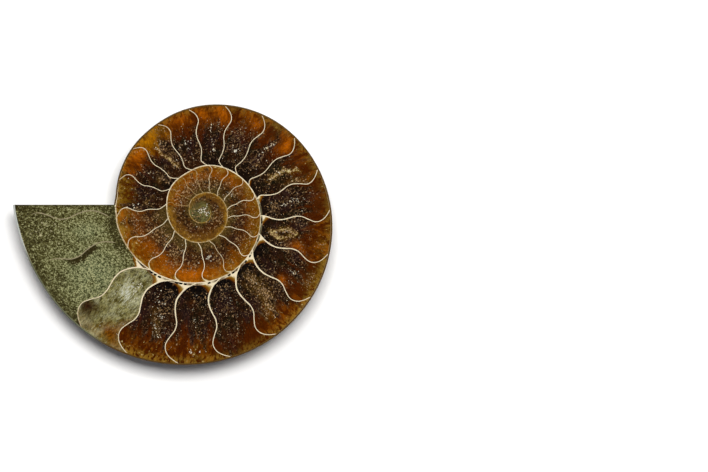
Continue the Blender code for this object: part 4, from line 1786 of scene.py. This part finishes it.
@dataclass
class ShellBody:
    """The outside of the half: the ribbed flank with its umbilicus, the rim's bevel and the sawn end."""

    columns: int = 640
    flank_rows: int = 44
    umbilical_rows: int = 9
    striae: float = 0.035 * MM  # height of the growth lines
    crease: float = 40  # degrees from which an edge is sharp

    def whorl_depth(self, turns: Array) -> Array:
        """Greatest depth of a whorl below the cut face."""
        whorl = np.minimum(-1, np.floor(turns))
        along = (turns - whorl) * TURN
        swell = 1 - (1 - DEPTH_RATIO) * np.exp(-((along / DEPTH_RISE) ** 2))
        return DEPTH * swell * DEPTH_RATIO ** (-1 - whorl)

    @staticmethod
    def seam(turns: Array) -> Array:
        """Radius of the line where a whorl's flank meets the whorl inside it."""
        outer = UMBILICUS * RIM_RADIUS * np.exp(OUTER_GROWTH * turns)
        return np.where(turns < -1, UMBILICUS * Spiral.rim(turns), outer)

    def across(self, turns: Array, radius: Array) -> Array:
        """Share of the way from the seam to the rim."""
        seam = self.seam(turns)
        return np.clip((radius - seam) / (Spiral.rim(turns) - seam), 0, 1)

    def rib_relief(self, turns: Array, across: Array) -> Array:
        """Height, zero or less, of the low sickle-shaped ribs."""
        bow = np.sin(math.pi * np.clip(across, 0, 1))
        wave = np.cos(RIBS * (turns * TURN - RIB_SWEEP * (bow - 0.5 * across)))
        depth = RIB_DEPTH * (Spiral.rim(turns) / RIM_RADIUS) ** RIB_FADE
        return depth * 0.5 * (wave - 1) * bow**0.8

    def depth(self, turns: Array, radius: Array) -> Array:
        """Depth of a whorl's outer surface below the cut face."""
        across = self.across(turns, radius)
        deepest = self.whorl_depth(turns)
        outward = np.clip((across - SHOULDER) / (1 - SHOULDER), 0, 1)
        outer = deepest * (1 - outward**FLANK_FULLNESS) ** (1 / VENTER_ROUNDNESS)
        level = DEPTH_RATIO * deepest
        if np.min(turns) >= -INNER_WHORLS:
            level = self.depth(turns - 1, self.seam(turns))
        inner = level + (deepest - level) * np.sin(0.5 * math.pi * np.minimum(across / SHOULDER, 1))
        return np.where(across >= SHOULDER, outer, inner) + self.rib_relief(turns, across)

    def worn(self, turns: Array, radius: Array) -> Array:
        """The same with growth lines and small dents."""
        across = self.across(turns, radius)
        bow = np.sin(math.pi * across)
        lines = ripple((turns * TURN - RIB_SWEEP * (bow - 0.5 * across)) * RIBS * 2.6, 1.0, 3)
        dents = ripple(turns * 41 + across * 3, 2.0) * ripple(across * 13 - turns * 9, 5.0)
        relief = self.striae * lines + 2 * self.striae * dents
        return self.depth(turns, radius) + bow * (Spiral.rim(turns) / RIM_RADIUS) * relief

    @staticmethod
    def spot(turns: Array, radius: Array, depth: Array) -> Array:
        """Position of a place along the spiral, following the solid's columns."""
        nominal = 360 * (turns + 1)
        plan = SPIRAL.polar(nominal + Spiral.lean(np.minimum(nominal, 360), radius), radius)
        return np.concatenate((plan, np.maximum(FACE - depth, CAD_LOW.z)[..., None]), -1)

    def last_whorl(self) -> tuple[Array, dict[str, Array]]:
        """Vertices of the last whorl, columns by rows, with their values."""
        turns = np.linspace(-1, 0, self.columns + 1)[:, None]
        seam, rim = self.seam(turns), Spiral.rim(turns)
        first_seam = self.seam(np.array(-1.0))
        covered = float((self.seam(np.array(0.0)) - first_seam) / (Spiral.rim(-1.0) - first_seam))
        low = covered * np.arange(self.umbilical_rows) / self.umbilical_rows
        high = np.sin(0.5 * math.pi * np.arange(self.flank_rows) / self.flank_rows)
        across = np.concatenate((low, covered + (1 - covered) * high))[None, :]
        radius = seam + (rim - seam) * across
        flank = self.spot(turns + 0 * across, radius, self.worn(turns + 0 * across, radius))
        lip = rim - CHAMFER - SHELL_EDGE
        edges = ((rim, CHAMFER), (rim - CHAMFER, 0.0), (lip, 0.0), (lip, FACE - BED))
        ring = [self.spot(turns, edge, np.full_like(turns, level)) for edge, level in edges]
        across = np.concatenate((across, np.ones((1, len(edges)))), 1) + 0 * turns
        degrees = 360 * (turns + 1) + 0 * across
        border = smooth_step(0.997, 1.0, across)
        values = {
            "across": across,
            "septum": np.interp(degrees, OUTER_CONTACTS, np.arange(len(OUTER_CONTACTS))),
            "chambered": smooth_step(318, 312, degrees) * smooth_step(0.0, 0.05, across),
            # low: painted shade in the rib hollows, and where the dust settles
            "low": np.clip(-self.rib_relief(turns + 0 * across, across) / RIB_DEPTH, 0, 1) * 0.6,
            "edge": 0.9 * smooth_step(0.985, 1.0, across),
            "silted": border * smooth_step(304, 314, degrees),
            # painted highlight on the bevel by the sawn tip
            "nacre": 0.7 * border * smooth_step(342, 350, degrees),
        }
        return np.concatenate([flank, *ring], 1), values

    def inner_whorl(self, whorl: int) -> tuple[Array, dict[str, Array | float]]:
        """Vertices of the part of an inner whorl that shows in the umbilicus, without the seam above it."""
        turns = (whorl + np.arange(self.columns) / self.columns)[:, None]
        seam = self.seam(turns)
        share = (np.arange(self.umbilical_rows) / self.umbilical_rows)[None, :]
        radius = seam + (self.seam(turns + 1) - seam) * share
        across = (radius - seam) / (Spiral.rim(turns) - seam)
        values = {
            "across": across,
            "septum": 17 * turns + 0 * across,
            "chambered": 1,
            # low: painted shade, darkest in the corner under the whorl outside
            "low": 0.35 + 0.5 * share**4 + 0 * turns,
            "edge": 0,
            "silted": 0,
            "nacre": 0,
        }
        turns = turns + 0 * share
        return self.spot(turns, radius, self.worn(turns, radius)), values

    def build(self) -> Piece:
        """Builds the closed body with the recess that the chambers' fillings lie in."""
        mesh = Mesh()
        points, values = self.last_whorl()
        columns, rows = points.shape[:2]
        seam_row = self.umbilical_rows
        mesh.add(points, **values)
        number = np.arange(columns * rows).reshape(columns, rows)
        number[-1, 0] = number[0, seam_row]
        mesh.join(quads(number))
        upper = number
        for whorl in range(-2, -2 - INNER_WHORLS, -1):
            points, values = self.inner_whorl(whorl)
            start = mesh.add(points, **values)
            own = start + np.arange(self.columns * seam_row).reshape(self.columns, seam_row)
            joined = np.concatenate((own, upper[: self.columns, :1]), 1)
            upper = np.concatenate((joined, upper[:1, : seam_row + 1]), 0)
            mesh.join(quads(upper))
        self.close_pole(mesh, upper)
        self.close_saw(mesh, number)
        materials = [WornShell().material("worn_shell"), SawnStone().material("sawn_stone")]
        return mesh.object("shell_body", materials, self.crease)

    def close_pole(self, mesh: Mesh, number: Array) -> None:
        """A fan over the small hole that is left at the pole."""
        edge = number[:, 0].tolist() + number[0, self.umbilical_rows : 0 : -1].tolist()
        level = np.concatenate(mesh.points)[edge][:, 2].mean()
        pole = mesh.add(np.array([*SPIRAL.pole, level]), **dict.fromkeys(mesh.values, 0.2))
        mesh.join((one, two, pole) for one, two in zip(edge, edge[1:] + edge[:1]))

    def close_saw(self, mesh: Mesh, number: Array) -> None:
        """The sawn wall, the dark line over it and the floor of the recess."""
        placed = np.concatenate(mesh.points)
        first, end = number[0].tolist(), number[-1].tolist()
        saw_y = SPIRAL.pole[1] + TRIM - SAWN_EDGE
        corners = [
            (placed[row[-2]][0], saw_y, height) for height in (FACE, BED) for row in (end, first)
        ]
        start = mesh.add(np.array(corners), **{name: float(name == "edge") for name in mesh.values})
        tip_top, notch_top, tip_low, notch_low = range(start, start + 4)
        mesh.join((
            end[:-2] + first[self.umbilical_rows + 1 : -2][::-1],
            (end[-3], end[-2], tip_top, notch_top, first[-2], first[-3]),
            (end[-2], end[-1], tip_low, tip_top),
            (tip_top, tip_low, notch_low, notch_top),
            (notch_top, notch_low, first[-1], first[-2]),
            number[:, -1].tolist() + [tip_low, notch_low],
        ), 1)


@dataclass
class Studio:
    """A pale floor under soft light, seen from straight above."""

    SOFTBOXES = (  # name, place, sides, watts, colour, whether polished faces mirror it
        ("overhead_softbox", (0.17, 0.54, 2.0), (1.05, 0.70), 53.0, (1.0, 0.99, 0.97), False),
        ("right_panel", (0.95, 0.55, 0.85), (0.5, 0.5), 0.5, (1.0, 0.98, 0.95), True),
        ("left_panel", (-0.9, 0.2, 0.55), (0.5, 0.35), 0.3, (0.93, 0.97, 1.0), True),
    )

    height: float = 1.5  # camera over the cut face
    sensor_width: float = 36  # in millimetres
    clip_end: float = 20
    frame_width: float = 2.2155 * LENGTH
    aside: tuple[float, float] = (0.5674 * LENGTH, -0.0042 * LENGTH)  # from the half to the view's middle
    floor_half: float = 6.0
    floor_level: float = 0.9
    room_tint: tuple[float, ...] = (0.86, 0.95, 1.10, 1.0)

    def build(self) -> None:
        """Builds the camera, the floor, the lights and the surroundings."""
        self.camera()
        self.floor()
        for softbox in self.SOFTBOXES:
            self.soft_light(*softbox)
        self.surroundings()
        bpy.context.scene.view_settings.view_transform = "Standard"

    def camera(self) -> None:
        """A long lens over the cut face."""
        data = bpy.data.cameras.new("camera")
        data.sensor_width = self.sensor_width
        data.lens = data.sensor_width * self.height / self.frame_width
        data.clip_end = self.clip_end
        camera = bpy.data.objects.new("camera", data)
        camera.location = (*self.aside, FACE + self.height)
        bpy.context.scene.collection.objects.link(camera)
        bpy.context.scene.camera = camera

    def floor(self) -> None:
        """A wide pale sheet."""
        half = self.floor_half
        corners = [(-half, -half, 0), (half, -half, 0), (half, half, 0), (-half, half, 0)]
        data = bpy.data.meshes.new("floor")
        data.from_pydata(corners, [], [(0, 1, 2, 3)])
        material = bpy.data.materials.new("pale_floor")
        material.use_nodes = True
        shader = material.node_tree.nodes["Principled BSDF"]
        shader.inputs["Base Color"].default_value = (*[self.floor_level] * 3, 1)
        shader.inputs["Roughness"].default_value = 0.9
        shader.inputs["Specular IOR Level"].default_value = 0.0
        data.materials.append(material)
        floor = bpy.data.objects.new("floor", data)
        bpy.context.scene.collection.objects.link(floor)

    @staticmethod
    def soft_light(
        name: str,
        place: tuple[float, float, float],
        size: tuple[float, float],
        power: float,
        colour: tuple[float, float, float],
        glossy: bool,
    ) -> None:
        """A softbox that faces the half.

        Args:
            name: Name of the light.
            place: Its middle.
            size: Its sides.
            power: Watts.
            colour: Its colour.
            glossy: Whether polished faces mirror it.
        """
        data = bpy.data.lights.new(name, "AREA")
        data.shape = "RECTANGLE"
        data.size, data.size_y = size
        data.energy = power
        data.color = colour
        light = bpy.data.objects.new(name, data)
        light.location = place
        light.rotation_mode = "QUATERNION"
        light.rotation_quaternion = (-Vector(place)).to_track_quat("-Z", "Y")
        light.visible_glossy = glossy
        light.visible_camera = False
        bpy.context.scene.collection.objects.link(light)

    def surroundings(self) -> None:
        """A dim, slightly cool room, brightest halfway up."""
        world = bpy.data.worlds.new("studio")
        bpy.context.scene.world = world
        world.use_nodes = True
        graph = Graph(world.node_tree)
        way = graph.node("ShaderNodeSeparateXYZ")
        graph.feed(way, (graph.node("ShaderNodeTexCoord").outputs["Generated"],))
        rise = graph.span(way.outputs[2], 0.0, 0.35)
        glow = graph.times(rise, graph.span(way.outputs[2], 0.92, 0.60))
        background = world.node_tree.nodes["Background"]
        graph.feed(background, {"Color": self.room_tint, "Strength": graph.raised(0.015, glow, 0.16)})


def main() -> None:
    """Builds every sub-assembly."""
    logging.basicConfig(level=logging.INFO, format="%(name)s: %(message)s")
    Studio().build()
    ShellBody().build()
    Chambers().build()
    LivingChamber().build()
    InnerWhorls().build()
    Septa().build()
    FaintSepta().build()
    SpiralWall().build()
    Crystals().build()


if __name__ == "__main__":
    main()
